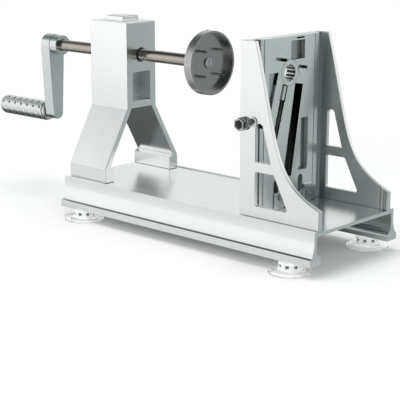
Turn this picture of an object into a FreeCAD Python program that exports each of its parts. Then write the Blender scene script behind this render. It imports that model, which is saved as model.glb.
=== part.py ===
import FreeCAD, Part
import math
import os

from FreeCAD import Placement, Rotation, Vector

# Hand cranked spiral potato cutter, in millimetres.
# +X runs from the crank to the cutter, +Y to the back, +Z up.
# The origin lies on the table under the middle of the base.

# Fits and small gaps
running_fit = 0.05          # radial, shaft in bush, pin in bore
screw_fit = 0.05            # radial, screw in its tapped hole
hole_play = 0.25            # radial, screw through a clearance hole
slide_gap = 0.3             # beside a block that slides in its pocket
seat_gap = 0.02             # between two faces that touch
edge_break = 0.4            # small chamfer on cut ends
pilot_room = 1.0            # hole depth past a screw's tip

# Base: one extrusion with a deck, two side legs and two foot rails
base_length = 326.0
base_width = 119.0          # over the two legs at the deck
deck_top = 40.2
deck_wall = 3.2
deck_lip = 0.8              # the legs stand this much above the deck
leg_wall = 3.6
rail_spread = 130.4         # over the two foot rails
rail_width = 14.6
rail_face = 7.4             # upright outer face of a rail
table_gap = 10.6            # rail underside above the table
flare_drop = 13.0           # height over which a leg curves out to its rail
flare_out = 3.0
rail_groove = 0.8
inner_flare_drop = 5.6
inner_flare_out = 4.8
ridge_radius = 0.3
ridge_count = 2

# Suction cups
cup_rim_radius = 20.0
cup_rim_band = 1.6          # flat ring that touches the table
cup_rim_height = 0.8
cup_skirt_height = 4.0
cup_hollow = 2.2
cup_neck_radius = 10.4
cup_neck_top = 8.6
cup_neck_wall = 1.3
cup_neck_recess = 3.2
cup_stud_radius = 2.2
cup_stud_depth = 6.0
cup_end_inset = 27.4        # cup centre from the end of the base

# Shaft and its stand
shaft_height = 125.8        # shaft axis above the deck
shaft_radius = 6.0
stand_depth = 54.0
stand_end_inset = 0.2       # stand face from the end of the base
column_width = 40.4
column_height = 159.0       # column top above the deck
shoulder_height = 72.0      # where the legs leave the column
leg_spread = 104.0          # over the two feet
stand_leg_wall = 5.4
foot_height = 14.8
foot_thickness = 11.5
foot_bevel = 5.0            # sideways, at the inner top of a foot
foot_bevel_rise = 2.6
arch_web = 7.0              # metal between the arch and the light well
well_width = 25.0
well_height = 29.5
stand_screw_radius = 2.0
stand_screw_reach = 9.0
stand_screw_spacing = 36.0

# Shaft bushes
bush_wall = 1.25
bush_flange_wall = 1.4
bush_flange_thickness = 1.2

# Release button
button_length = 24.4
button_width = 22.0
button_rise = 5.4           # above the column top
button_travel = 4.0
button_floor = 2.95         # metal under the shoe
shoe_wall = 1.2
stop_play = 0.2             # travel left at the end of the button's way
spring_thickness = 0.5
spring_width = 12.0
spring_length = 21.0

# Crank
arm_thickness = 14.0
arm_head_radius = 10.9
arm_tip_radius = 6.9
crank_radius = 75.0
boss_radius = 10.5
boss_length = 10.5
boss_face_to_stand = 67.0   # free shaft between the stand and the boss
boss_recess_gap = 0.4
boss_recess_depth = 0.6
arm_end_wall = 4.0
end_screw_radius = 2.5
end_screw_head_radius = 4.6
end_screw_head_height = 3.0
end_screw_reach = 12.0
washer_radius = 6.4
washer_thickness = 1.2
grub_radius = 2.5
grub_length = 4.2

# Grip
grip_radius = 10.5
grip_wall = 1.8
grip_length = 70.0
grip_gap = 0.8              # between the arm and the grip's collar
grip_dimple_radius = 1.7
grip_dimple_depth = 1.0
grip_dimple_rings = 5
grip_dimples_round = 8
grip_dimple_pitch = 10.5
collar_length = 3.4
collar_radius = 9.4
plug_length = 7.0
cap_length = 2.4
axle_radius = 3.2
axle_thread_radius = 2.0
axle_head_radius = 5.4
axle_head_thickness = 2.0
end_play = 0.3

# Potato cup
cup_radius = 31.0
cup_wall = 2.0
cup_depth = 9.6
cup_floor = 3.0
cup_to_stand = 89.0         # free shaft between the stand and the cup
cup_screw_radius = 2.5
cup_screw_reach = 12.0
cup_screw_head_radius = 5.0
cup_screw_head_height = 1.8
prong_count = 4
prong_radius = 1.6
prong_circle = 17.0
prong_length = 12.0
prong_tip = 6.0
prong_seat = 2.2

# Cutter frame: upright channel with curved flanges
frame_depth = 88.3          # web's rear face to the flanges' free ends
frame_width = 108.4
frame_height = 159.2        # above the deck
frame_end_inset = 0.2       # flange ends from the end of the base
web_wall = 5.5
flange_wall = 4.0
flange_lip = 2.0            # flanges run on behind the web
bead_wall = 5.5
bead_length = 9.0
bead_groove_radius = 0.6
cove_radius = 5.0
flange_head = 14.8          # flange length at the top
toe_height = 18.0           # flange height at its free end
head_lean = 16.0            # degrees from upright, edge curve at the top
toe_lean = 20.0             # degrees from level, edge curve at the toe
head_pull = 93.0
toe_pull = 57.0
frame_screw_radius = 2.0
frame_screw_inset = 4.0     # from the web's rear face and the flange's side
toe_screw_radius = 1.5
frame_screw_reach = 12.0
toe_screw_reach = 8.0

# Windows in the flanges, heights above the deck
window_front = 15.8         # from the web's rear face
upper_window_bottom = 51.8
upper_window_spring = 82.4
upper_window_mouth = 8.9
upper_window_foot = 18.0
lower_window_bottom = 11.4
lower_window_top = 42.8
lower_window_mouth = 21.6
lower_window_foot = 38.0
window_corner = 2.0

# Cutter plate, held in two tracks on the web
plate_wall = 5.0
plate_half_width = 36.2
tongue_width = 2.4
tongue_wall = 2.3
track_wall = 3.4
track_lip = 2.2
track_play = 0.15
plate_foot_gap = 0.8
hub_radius = 12.2
hub_bore = 6.8

# Cut-outs in the plate: sideways from the shaft's plane, heights from its axis
sight_window_left = 1.2
sight_window_width = 20.0
sight_window_bottom = 11.4
sight_window_height = 17.4
top_slit_left = 9.5
top_slit_width = 11.0
top_slit_bottom = 30.2
top_slit_height = 1.4
slit_lean = 9.6             # degrees from level, down towards the back
left_slit_left = -20.6
left_slit_width = 16.5
left_slit_bottom = 11.5
left_slit_height = 2.8
right_slit_left = 12.4
right_slit_width = 13.2
right_slit_bottom = 2.2
right_slit_height = 2.8
slice_lean = 10.2           # degrees from upright
slice_width = 11.5
slice_bottom_side = -1.7
slice_bottom_height = -96.0
slice_length = 86.0
side_window_left = 17.4
side_window_width = 10.6
side_window_bottom = -89.8
side_window_height = 45.8
side_slit_left = 14.8
side_slit_width = 12.6
side_slit_height = 3.6      # just under the side window
foot_slot_side = 17.8
foot_slot_radius = 3.3
foot_slot_low = -111.2
foot_slot_length = 10.4
key_pocket_left = -29.4
key_pocket_top = 1.6
key_pocket_width = 13.0
key_pocket_height = 38.0
key_pocket_toe = 1.8
key_width = 11.0
key_wall = 2.6
key_foot_gap = 9.0          # pocket left open under the key

# Comb clamp: cap bolt and cross dowel lying in the plate
bolt_lean = 16.0
dowel_side = -15.5
dowel_height = -41.8
bolt_head_radius = 3.05
bolt_head_length = 13.4
bolt_head_start = 18.3
bolt_radius = 2.3
bolt_tail = 22.0
bolt_tail_gap = 1.0
dowel_radius = 3.8
bolt_channel_gap = 0.9

# Slicing blade
blade_wall = 1.5
blade_width = 17.0
blade_gap = 2.6             # slice thickness, blade to web
blade_cover = 8.0           # how far the blade reaches over the slot
blade_end = 7.0             # blade length past each screw
blade_bevel = 1.1
blade_screw_radius = 2.0
blade_screw_head = 3.6
blade_screw_head_height = 1.9
blade_screw_land = 5.6      # screw centre past the end of the slot
spacer_radius = 4.2

# Clips that hold the plate's foot
clip_wall = 2.2
right_clip_left = 21.6
right_clip_width = 11.0
right_clip_height = 18.4
left_clip_left = -21.4
left_clip_width = 14.6
left_clip_height = 16.6
clip_step = 6.5             # height of the thin foot of the left clip
clip_screw_radius = 1.5
clip_screw_head = 2.8
clip_screw_head_height = 1.4

# Side clamp: thumb screw, threaded insert and shoe
clamp_setback = 13.3        # clamp axis in front of the web's rear face
clamp_drop = 37.8           # clamp axis below the shaft's axis
clamp_travel = 2.0
clamp_end_gap = 1.5         # left between shoe and flange, screw fully out
clamp_screw_radius = 2.5
insert_radius = 3.6
insert_head_radius = 4.3
insert_head_thickness = 0.8
clamp_tip_radius = 1.8
clamp_tip_length = 4.0
shoe_nose_depth = 2.0
shoe_height = 14.0
shoe_front = 9.0            # shoe length in front of the plate's face
shoe_play = 0.2
shoe_socket_wall = 1.8
knob_spacer_start = 5.2
knob_spacer_length = 3.6
knob_spacer_radius = 3.9
knob_radius = 6.0
knob_length = 6.6
hex_length = 4.6
hex_across_flats = 10.6

# Worked out from the dimensions above
half_length = base_length / 2
lip_top = deck_top + deck_lip
leg_outer = base_width / 2
leg_inner = leg_outer - leg_wall
rail_outer = rail_spread / 2
rail_inner = rail_outer - rail_width
rail_mid = (rail_outer + rail_inner) / 2
rail_top = table_gap + rail_face
shaft_z = deck_top + shaft_height
stand_left = -half_length + stand_end_inset
stand_right = stand_left + stand_depth
stand_mid = (stand_left + stand_right) / 2
column_top = deck_top + column_height
shoulder_z = deck_top + shoulder_height
well_bottom = shoulder_z + arch_web
well_top = well_bottom + well_height
bore_radius = shaft_radius + running_fit
bush_radius = bore_radius + bush_wall
bush_flange_radius = bush_radius + bush_flange_wall
pocket_half_length = button_length / 2 + slide_gap
pocket_half_width = button_width / 2 + slide_gap
shoe_radius = bore_radius + shoe_wall
button_bottom = shaft_z - shoe_radius - button_floor
pocket_floor = button_bottom - button_travel - stop_play - spring_thickness
button_top = column_top + button_rise
boss_face = stand_left - boss_face_to_stand
arm_face = boss_face - boss_length
arm_back = arm_face - arm_thickness
grip_z = shaft_z - crank_radius
shaft_left = arm_back + arm_end_wall
cup_back = stand_right + cup_to_stand
cup_inner = cup_back + cup_floor
frame_end = half_length - frame_end_inset
frame_back = frame_end - frame_depth
frame_top = deck_top + frame_height
web_front = frame_back + web_wall
plate_front = web_front + plate_wall
flange_outer = frame_width / 2
flange_inner = flange_outer - flange_wall
plate_bottom = deck_top + plate_foot_gap
key_top_z = shaft_z + key_pocket_top
key_bottom_z = key_top_z - key_pocket_height
slice_angle = math.radians(slice_lean)
bolt_angle = math.radians(bolt_lean)
blade_front = frame_back - blade_gap
blade_back = blade_front - blade_wall
clamp_axis_x = frame_back + clamp_setback
clamp_axis_z = shaft_z - clamp_drop
insert_end = flange_outer + insert_head_thickness
shoe_inner = plate_half_width + tongue_width + seat_gap
shoe_shoulder = shoe_inner + shoe_nose_depth
shoe_outer = flange_inner - clamp_travel - clamp_end_gap

X = Vector(1, 0, 0)
Y = Vector(0, 1, 0)
Z = Vector(0, 0, 1)


def save(shape, node):
    """Write one node's solids as a STEP file."""
    shape.exportStep("parts/" + node + ".step")


def block(x0, x1, y0, y1, z0, z1):
    """Box between two corners."""
    return Part.makeBox(x1 - x0, y1 - y0, z1 - z0, Vector(x0, y0, z0))


def rod(radius, start, direction, length):
    """Round bar from a point along a direction."""
    return Part.makeCylinder(radius, length, start, direction)


def outline(start, steps):
    """Closed flat face. A step is one point for a line, or two points for an arc."""
    edges = []
    here = start
    for step in steps:
        if len(step) == 1:
            edges.append(Part.LineSegment(here, step[0]).toShape())
        else:
            edges.append(Part.Arc(here, step[0], step[1]).toShape())
        here = step[-1]
    edges.append(Part.LineSegment(here, start).toShape())
    return Part.Face(Part.Wire(edges))


def polygon(points):
    """Closed flat face with straight sides."""
    return Part.Face(Part.makePolygon(points + [points[0]]))


def mirrored(shape):
    """The same shape on the other side of the shaft's upright plane."""
    return shape.mirror(Vector(0, 0, 0), Y)


def both_sides(shape):
    """A shape and its mirror image, joined."""
    return shape.fuse(mirrored(shape))


def tube(outer, inner, start, direction, length):
    """Round tube from a point along a direction."""
    return rod(outer, start, direction, length).cut(rod(inner, start, direction, length))


def group(solids):
    """Separate solids that share one node."""
    return Part.makeCompound(solids)


def spun(points, centre, axis):
    """Solid turned from a closed outline of (radius, along) points."""
    face = polygon([Vector(radius, 0, along) for radius, along in points])
    solid = face.revolve(Vector(0, 0, 0), Z, 360)
    solid.Placement = Placement(centre, Rotation(Z, axis))
    return solid


def tilted_slot(bottom, angle, width, length, x0, x1):
    """Square-ended slot in the plate that leans to the back, from its lower end."""
    slot = block(x0, x1, -width / 2, width / 2, 0, length)
    slot.rotate(Vector(0, 0, 0), X, -math.degrees(angle))
    slot.translate(Vector(0, bottom[0], bottom[1]))
    return slot


# Screw places under the deck

def stand_screw_places():
    """Two screws up into each foot of the stand."""
    y = leg_spread / 2 - foot_thickness / 2
    xs = [stand_mid - stand_screw_spacing / 2, stand_mid + stand_screw_spacing / 2]
    return [(x, side * y) for x in xs for side in (-1, 1)]


def frame_screw_places():
    """One screw up into each thick inner corner of the channel."""
    x = frame_back + frame_screw_inset
    y = flange_outer - frame_screw_inset
    return [(x, side * y) for side in (-1, 1)]


def toe_screw_places():
    """One screw up into the beaded end of each flange."""
    x = frame_end - bead_length / 2
    y = flange_outer - bead_wall / 2
    return [(x, side * y) for side in (-1, 1)]


def deck_screws(places, radius, head_radius, reach):
    """Pan head screws that come up through the deck."""
    under = deck_top - deck_wall
    screws = []
    for x, y in places:
        shank = rod(radius, Vector(x, y, under), Z, deck_wall + reach)
        head = rod(head_radius, Vector(x, y, under - radius), Z, radius)
        rim = [edge for edge in head.Edges if edge.BoundBox.ZMax < under - radius + 0.001]
        head = head.makeChamfer(radius / 4, rim)
        screws.append(shank.fuse(head).removeSplitter())
    return group(screws)


# Base

def base_leg():
    """Side leg with its curved flare and foot rail, on the +Y side."""
    left = -half_length
    groove_z = lip_top - deck_lip - (deck_top - rail_top) + rail_groove
    flare_top = groove_z + flare_drop
    flare_y = leg_outer + flare_out
    radius = (flare_drop ** 2 + flare_out ** 2) / (2 * flare_out)
    half_drop = flare_drop / 2
    flare_mid = leg_outer + radius - math.sqrt(radius ** 2 - half_drop ** 2)
    inner_top = rail_top + inner_flare_drop
    inner_y = leg_inner - inner_flare_out
    inner_radius = (inner_flare_drop ** 2 + inner_flare_out ** 2) / (2 * inner_flare_out)
    inner_half = inner_flare_drop / 2
    inner_mid = leg_inner - inner_radius + math.sqrt(inner_radius ** 2 - inner_half ** 2)
    start = Vector(left, leg_inner, lip_top)
    steps = [
        (Vector(left, leg_outer, lip_top),),
        (Vector(left, leg_outer, flare_top),),
        (Vector(left, flare_mid, flare_top - half_drop), Vector(left, flare_y, groove_z)),
        (Vector(left, flare_y, groove_z - rail_groove),),
        (Vector(left, rail_outer, rail_top - rail_groove),),
        (Vector(left, rail_outer, table_gap),),
        (Vector(left, rail_inner, table_gap),),
        (Vector(left, rail_inner, rail_top - 2 * rail_groove),),
        (Vector(left, inner_y, rail_top),),
        (Vector(left, inner_mid, inner_top - inner_half), Vector(left, leg_inner, inner_top)),
    ]
    return outline(start, steps).extrude(Vector(base_length, 0, 0))


def base_extrusion():
    """Deck, legs and foot rails, with every screw and stud hole."""
    deck = block(-half_length, half_length, -leg_inner, leg_inner, deck_top - deck_wall, deck_top)
    solid = deck.fuse(both_sides(base_leg())).removeSplitter()
    tools = []
    ridge_pitch = rail_face / (ridge_count + 1)
    for step in range(1, ridge_count + 1):
        for side in (-1, 1):
            start = Vector(-half_length, side * rail_outer, table_gap + step * ridge_pitch)
            tools.append(rod(ridge_radius, start, X, base_length))
    for x, y in cup_places():
        start = Vector(x, y, table_gap)
        depth = cup_stud_depth + pilot_room
        tools.append(rod(cup_stud_radius + screw_fit, start, Z, depth))
    for places, radius in (
        (stand_screw_places(), stand_screw_radius),
        (frame_screw_places(), frame_screw_radius),
        (toe_screw_places(), toe_screw_radius),
    ):
        for x, y in places:
            start = Vector(x, y, deck_top - deck_wall)
            tools.append(rod(radius + hole_play, start, Z, deck_wall))
    return solid.cut(tools)


def cup_places():
    """Suction cup centres under the two rails."""
    x = half_length - cup_end_inset
    return [(-x, -rail_mid), (-x, rail_mid), (x, -rail_mid), (x, rail_mid)]


def suction_cup(x, y):
    """Clear cup with a hollow skirt, a neck ring and a stud for the rail."""
    inner_rim = cup_rim_radius - cup_rim_band
    recess_top = cup_neck_top - cup_neck_recess
    recess_radius = cup_neck_radius - cup_neck_wall
    recess_inner = cup_stud_radius + cup_neck_wall
    points = [
        (0, cup_hollow),
        (inner_rim * 0.6, cup_hollow * 0.85),
        (inner_rim, 0),
        (cup_rim_radius, 0),
        (cup_rim_radius, cup_rim_height),
        (cup_neck_radius, cup_skirt_height),
        (cup_neck_radius, cup_neck_top),
        (recess_radius, cup_neck_top),
        (recess_radius, recess_top),
        (recess_inner, recess_top),
        (recess_inner, table_gap - seat_gap),
        (cup_stud_radius, table_gap - seat_gap),
        (cup_stud_radius, table_gap + cup_stud_depth),
        (0, table_gap + cup_stud_depth),
    ]
    return spun(points, Vector(x, y, 0), Z)


# Shaft stand

def stand_profile():
    """Outline of column, legs and feet, with the arch between the legs."""
    x = stand_left
    column = column_width / 2
    foot = leg_spread / 2
    foot_top = deck_top + foot_height
    slope = (foot - column) / (shoulder_z - foot_top)
    wall_across = stand_leg_wall * math.sqrt(1 + slope ** 2)
    arch_half = column - wall_across
    foot_inner = foot - foot_thickness
    knee_y = foot_inner + foot_bevel
    knee_z = shoulder_z - (knee_y - arch_half) / slope
    bevel_z = knee_z - foot_bevel_rise
    half = [
        (0, column_top),
        (column, column_top),
        (column, shoulder_z),
        (foot, foot_top),
        (foot, deck_top),
        (foot_inner, deck_top),
        (foot_inner, bevel_z),
        (knee_y, knee_z),
        (arch_half, shoulder_z),
        (0, shoulder_z),
    ]
    points = [Vector(x, y, z) for y, z in half[1:-1]]
    points += [Vector(x, -y, z) for y, z in reversed(half[1:-1])]
    return polygon(points)


def shaft_stand():
    """Extruded A-shaped stand with a bore for the shaft and a pocket for the button."""
    solid = stand_profile().extrude(Vector(stand_depth, 0, 0))
    ends = [
        edge for edge in solid.Edges
        if abs(edge.BoundBox.XLength) < 0.001
    ]
    solid = solid.makeChamfer(edge_break, ends)
    well = block(stand_left, stand_right, -well_width / 2, well_width / 2, well_bottom, well_top)
    pocket = block(
        stand_mid - pocket_half_length, stand_mid + pocket_half_length,
        -pocket_half_width, pocket_half_width, pocket_floor, column_top,
    )
    bore = rod(bush_radius + running_fit, Vector(stand_left, 0, shaft_z), X, stand_depth)
    flange_room = pocket_half_length + bush_flange_thickness + seat_gap
    relief = rod(
        bush_flange_radius + running_fit,
        Vector(stand_mid - flange_room, 0, shaft_z), X, 2 * flange_room,
    )
    tools = [well, pocket, bore, relief]
    for x, y in stand_screw_places():
        depth = stand_screw_reach + pilot_room
        tools.append(rod(stand_screw_radius + screw_fit, Vector(x, y, deck_top), Z, depth))
    return solid.cut(tools)


def shaft_bush(side):
    """Flanged bush in one wall of the column; side is -1 left, 1 right."""
    wall = stand_depth / 2 - pocket_half_length
    inner_face = Vector(stand_mid + side * pocket_half_length, 0, shaft_z)
    outward = X * side
    body = tube(bush_radius, bore_radius, inner_face, outward, wall)
    flange = tube(bush_flange_radius, bore_radius, inner_face, outward, bush_flange_thickness)
    return body.fuse(flange).removeSplitter()


def release_button():
    """Block that the shaft passes through; pressing it frees the shaft."""
    solid = block(
        stand_mid - button_length / 2, stand_mid + button_length / 2,
        -button_width / 2, button_width / 2, button_bottom, button_top,
    )
    top_edges = [edge for edge in solid.Edges if edge.BoundBox.ZMin > button_top - 0.001]
    solid = solid.makeChamfer(2 * edge_break, top_edges)
    slot_rise = button_travel + stop_play
    start = Vector(stand_mid - button_length / 2, 0, shaft_z)
    lower = rod(shoe_radius, start, X, button_length)
    upper = rod(shoe_radius, start + Vector(0, 0, slot_rise), X, button_length)
    middle = block(
        stand_mid - button_length / 2, stand_mid + button_length / 2,
        -shoe_radius, shoe_radius, shaft_z, shaft_z + slot_rise,
    )
    return solid.cut([lower, upper, middle])


def brake_shoe():
    """Half-round liner in the button's slot that grips the shaft from below."""
    start = Vector(stand_mid - button_length / 2, 0, shaft_z)
    ring = tube(shoe_radius, bore_radius, start, X, button_length)
    upper_half = block(
        stand_mid - button_length, stand_mid + button_length,
        -2 * shoe_radius, 2 * shoe_radius, shaft_z, shaft_z + 2 * shoe_radius,
    )
    return ring.cut(upper_half)


def button_spring():
    """Arched leaf spring between the pocket's floor and the button."""
    rise = button_bottom - pocket_floor - seat_gap
    half = spring_length / 2
    y = -spring_width / 2
    inner_rise = rise - spring_thickness
    start = Vector(stand_mid - half, y, pocket_floor)
    steps = [
        (Vector(stand_mid, y, pocket_floor + rise), Vector(stand_mid + half, y, pocket_floor)),
        (Vector(stand_mid + half - 2 * spring_thickness, y, pocket_floor),),
        (
            Vector(stand_mid, y, pocket_floor + inner_rise),
            Vector(stand_mid - half + 2 * spring_thickness, y, pocket_floor),
        ),
    ]
    return outline(start, steps).extrude(Vector(0, spring_width, 0))


# Shaft, crank and grip

def feed_shaft():
    """Round shaft from the crank arm to the potato cup."""
    solid = rod(shaft_radius, Vector(shaft_left, 0, shaft_z), X, cup_back - shaft_left)
    crank_end = rod(
        end_screw_radius + screw_fit, Vector(shaft_left, 0, shaft_z), X,
        end_screw_reach + pilot_room,
    )
    cup_depth_tapped = cup_screw_reach + pilot_room
    cup_end = rod(
        cup_screw_radius + screw_fit, Vector(cup_back - cup_depth_tapped, 0, shaft_z), X,
        cup_depth_tapped,
    )
    return solid.cut([crank_end, cup_end])


def crank_arm():
    """Tapered arm with a round head, a boss on the shaft and a tip for the grip."""
    lean = -(arm_head_radius - arm_tip_radius) / crank_radius
    across = math.sqrt(1 - lean ** 2)
    x = arm_back
    head_side = arm_head_radius * across
    head_z = shaft_z + arm_head_radius * lean
    tip_side = arm_tip_radius * across
    tip_z = grip_z + arm_tip_radius * lean
    start = Vector(x, head_side, head_z)
    steps = [
        (Vector(x, 0, shaft_z + arm_head_radius), Vector(x, -head_side, head_z)),
        (Vector(x, -tip_side, tip_z),),
        (Vector(x, 0, grip_z - arm_tip_radius), Vector(x, tip_side, tip_z)),
    ]
    arm = outline(start, steps).extrude(Vector(arm_thickness, 0, 0))
    rims = [edge for edge in arm.Edges if edge.BoundBox.XLength < 0.001]
    arm = arm.makeFillet(2 * edge_break, rims)
    boss = rod(boss_radius, Vector(arm_face, 0, shaft_z), X, boss_length)
    solid = arm.fuse(boss).removeSplitter()
    socket = rod(shaft_radius + seat_gap, Vector(shaft_left, 0, shaft_z), X, boss_face - shaft_left)
    recess = rod(
        shaft_radius + boss_recess_gap, Vector(boss_face - boss_recess_depth, 0, shaft_z), X,
        boss_recess_depth,
    )
    end_hole = rod(end_screw_radius + hole_play, Vector(arm_back, 0, shaft_z), X, arm_end_wall)
    axle_hole = rod(
        axle_thread_radius + screw_fit, Vector(arm_back, 0, grip_z), X, arm_thickness,
    )
    grub_hole = rod(
        grub_radius + screw_fit, Vector(grub_x(), 0, shaft_z - boss_radius), Z,
        boss_radius - shaft_radius,
    )
    return solid.cut([socket, recess, end_hole, axle_hole, grub_hole])


def grub_x():
    """Place of the grub screw along the boss."""
    return (arm_face + boss_face - boss_recess_depth) / 2


def crank_grub_screw():
    """Grub screw from under the boss onto the shaft."""
    start = Vector(grub_x(), 0, shaft_z - shaft_radius - seat_gap)
    solid = rod(grub_radius, start, -Z, grub_length)
    foot = start - Vector(0, 0, grub_length)
    return solid.cut(rod(grub_radius / 2, foot, Z, grub_length / 2))


def crank_washer():
    """Washer under the head of the crank's end screw."""
    start = Vector(arm_back - washer_thickness, 0, shaft_z)
    return tube(washer_radius, end_screw_radius + hole_play, start, X, washer_thickness)


def crank_end_screw():
    """Screw that draws the arm onto the shaft's end."""
    face = arm_back - washer_thickness
    top = face - end_screw_head_height
    head = rod(end_screw_head_radius, Vector(top, 0, shaft_z), X, end_screw_head_height)
    rim = [edge for edge in head.Edges if edge.BoundBox.XMax < top + 0.001]
    head = head.makeFillet(end_screw_head_height / 2, rim[:1])
    reach = washer_thickness + arm_end_wall + end_screw_reach
    shank = rod(end_screw_radius, Vector(face, 0, shaft_z), X, reach)
    key = rod(end_screw_radius / 2, Vector(top, 0, shaft_z), X, end_screw_head_height / 2)
    return head.fuse(shank).removeSplitter().cut(key)


def grip_start():
    """Face of the grip's collar beside the arm."""
    return arm_back - grip_gap


def grip_collar():
    """Turned collar that plugs the arm end of the grip."""
    face = grip_start()
    ring = rod(collar_radius, Vector(face, 0, grip_z), -X, collar_length)
    rim = [edge for edge in ring.Edges if edge.BoundBox.XLength < 0.001]
    ring = ring.makeChamfer(edge_break, rim)
    plug = rod(
        grip_radius - grip_wall - seat_gap, Vector(face - collar_length, 0, grip_z), -X, plug_length,
    )
    bore = rod(
        axle_radius + running_fit, Vector(face, 0, grip_z), -X, collar_length + plug_length,
    )
    return ring.fuse(plug).removeSplitter().cut(bore)


def grip_sleeve():
    """Dimpled tube that the hand holds."""
    face = grip_start() - collar_length
    body = rod(grip_radius, Vector(face, 0, grip_z), -X, grip_length)
    rims = [edge for edge in body.Edges if edge.BoundBox.XLength < 0.001]
    body = body.makeChamfer(2 * edge_break, rims)
    bore = rod(grip_radius - grip_wall, Vector(face, 0, grip_z), -X, grip_length)
    tools = [bore]
    first = face - grip_length / 2 + grip_dimple_pitch * (grip_dimple_rings - 1) / 2
    for ring in range(grip_dimple_rings):
        for step in range(grip_dimples_round):
            turn = 2 * math.pi * (step + 0.5 * (ring % 2)) / grip_dimples_round
            outward = Vector(0, math.cos(turn), math.sin(turn))
            start = Vector(first - ring * grip_dimple_pitch, 0, grip_z)
            start += outward * (grip_radius - grip_dimple_depth)
            tools.append(rod(grip_dimple_radius, start, outward, 2 * grip_dimple_depth))
    return body.cut(tools)


def grip_end_cap():
    """Turned cap that plugs the free end of the grip and hides the axle's head."""
    face = grip_start() - collar_length - grip_length
    cap = rod(grip_radius - 2 * edge_break, Vector(face, 0, grip_z), -X, cap_length)
    rims = [edge for edge in cap.Edges if edge.BoundBox.XMax < face - cap_length + 0.001]
    cap = cap.makeFillet(cap_length / 2, rims[:1])
    plug = rod(grip_radius - grip_wall - seat_gap, Vector(face, 0, grip_z), X, plug_length)
    bore = rod(
        axle_radius + running_fit, Vector(face - cap_length, 0, grip_z), X, cap_length + plug_length,
    )
    recess = rod(
        axle_head_radius + slide_gap, Vector(face - cap_length, 0, grip_z), X,
        axle_head_thickness + end_play,
    )
    return cap.fuse(plug).removeSplitter().cut([bore, recess])


def grip_axle():
    """Shoulder screw from the grip's free end into the arm."""
    cap_face = grip_start() - collar_length - grip_length - cap_length
    head_start = Vector(cap_face, 0, grip_z)
    head = rod(axle_head_radius, head_start, X, axle_head_thickness)
    slot = block(
        cap_face, cap_face + axle_head_thickness / 2, -axle_head_radius, axle_head_radius,
        grip_z - edge_break, grip_z + edge_break,
    )
    pin = rod(axle_radius, head_start, X, arm_back - cap_face - seat_gap)
    thread = rod(
        axle_thread_radius, Vector(arm_back - seat_gap, 0, grip_z), X, arm_thickness + seat_gap,
    )
    return head.fuse([pin, thread]).removeSplitter().cut(slot)


# Potato cup

def potato_cup():
    """Shallow steel cup that drives the potato."""
    solid = rod(cup_radius, Vector(cup_back, 0, shaft_z), X, cup_depth)
    back_rim = [edge for edge in solid.Edges if edge.BoundBox.XMax < cup_back + 0.001]
    solid = solid.makeFillet(2 * edge_break, back_rim[:1])
    inside = rod(cup_radius - cup_wall, Vector(cup_inner, 0, shaft_z), X, cup_depth - cup_floor)
    tools = [inside]
    tools.append(rod(cup_screw_radius + hole_play, Vector(cup_back, 0, shaft_z), X, cup_floor))
    for y, z in prong_places():
        tools.append(rod(prong_radius, Vector(cup_inner - prong_seat, y, z), X, prong_seat))
    return solid.cut(tools)


def prong_places():
    """Prong centres on a circle in the cup's floor."""
    places = []
    for step in range(prong_count):
        turn = 2 * math.pi * (step + 0.5) / prong_count
        places.append((prong_circle * math.cos(turn), shaft_z + prong_circle * math.sin(turn)))
    return places


def cup_prongs():
    """Pointed pins pressed into the cup's floor."""
    prongs = []
    straight = prong_length - prong_tip
    for y, z in prong_places():
        foot = Vector(cup_inner - prong_seat, y, z)
        pin = rod(prong_radius - seat_gap, foot, X, prong_seat + straight)
        tip_start = foot + Vector(prong_seat + straight, 0, 0)
        tip = Part.makeCone(prong_radius - seat_gap, prong_radius / 10, prong_tip, tip_start, X)
        prongs.append(pin.fuse(tip).removeSplitter())
    return group(prongs)


def cup_screw():
    """Low round-headed screw that holds the cup to the shaft."""
    head = rod(cup_screw_head_radius, Vector(cup_inner, 0, shaft_z), X, cup_screw_head_height)
    top = cup_inner + cup_screw_head_height
    rim = [edge for edge in head.Edges if edge.BoundBox.XMin > top - 0.001]
    head = head.makeFillet(cup_screw_head_height / 2, rim[:1])
    reach = cup_floor + cup_screw_reach
    shank = rod(cup_screw_radius, Vector(cup_inner - reach, 0, shaft_z), X, reach)
    slot = block(
        top - cup_screw_head_height / 3, top, -edge_break, edge_break,
        shaft_z - cup_screw_head_radius, shaft_z + cup_screw_head_radius,
    )
    return head.fuse(shank).removeSplitter().cut(slot)


# Cutter frame

def channel_half():
    """Half of the channel's plan on the +Y side: web, cove, flange and end bead."""
    z = deck_top
    cove_middle = cove_radius * (1 - math.sqrt(0.5))
    bead_start = frame_end - bead_length
    bead_inner = flange_outer - bead_wall
    start = Vector(frame_back, 0, z)
    steps = [
        (Vector(frame_back, flange_inner, z),),
        (Vector(frame_back - flange_lip, flange_inner, z),),
        (Vector(frame_back - flange_lip, flange_outer, z),),
        (Vector(frame_end, flange_outer, z),),
        (Vector(frame_end, bead_inner, z),),
        (Vector(bead_start + bead_wall - flange_wall, bead_inner, z),),
        (Vector(bead_start, flange_inner, z),),
        (Vector(web_front + cove_radius, flange_inner, z),),
        (
            Vector(web_front + cove_middle, flange_inner - cove_middle, z),
            Vector(web_front, flange_inner - cove_radius, z),
        ),
        (Vector(web_front, 0, z),),
    ]
    return outline(start, steps).extrude(Vector(0, 0, frame_top - deck_top))


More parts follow.
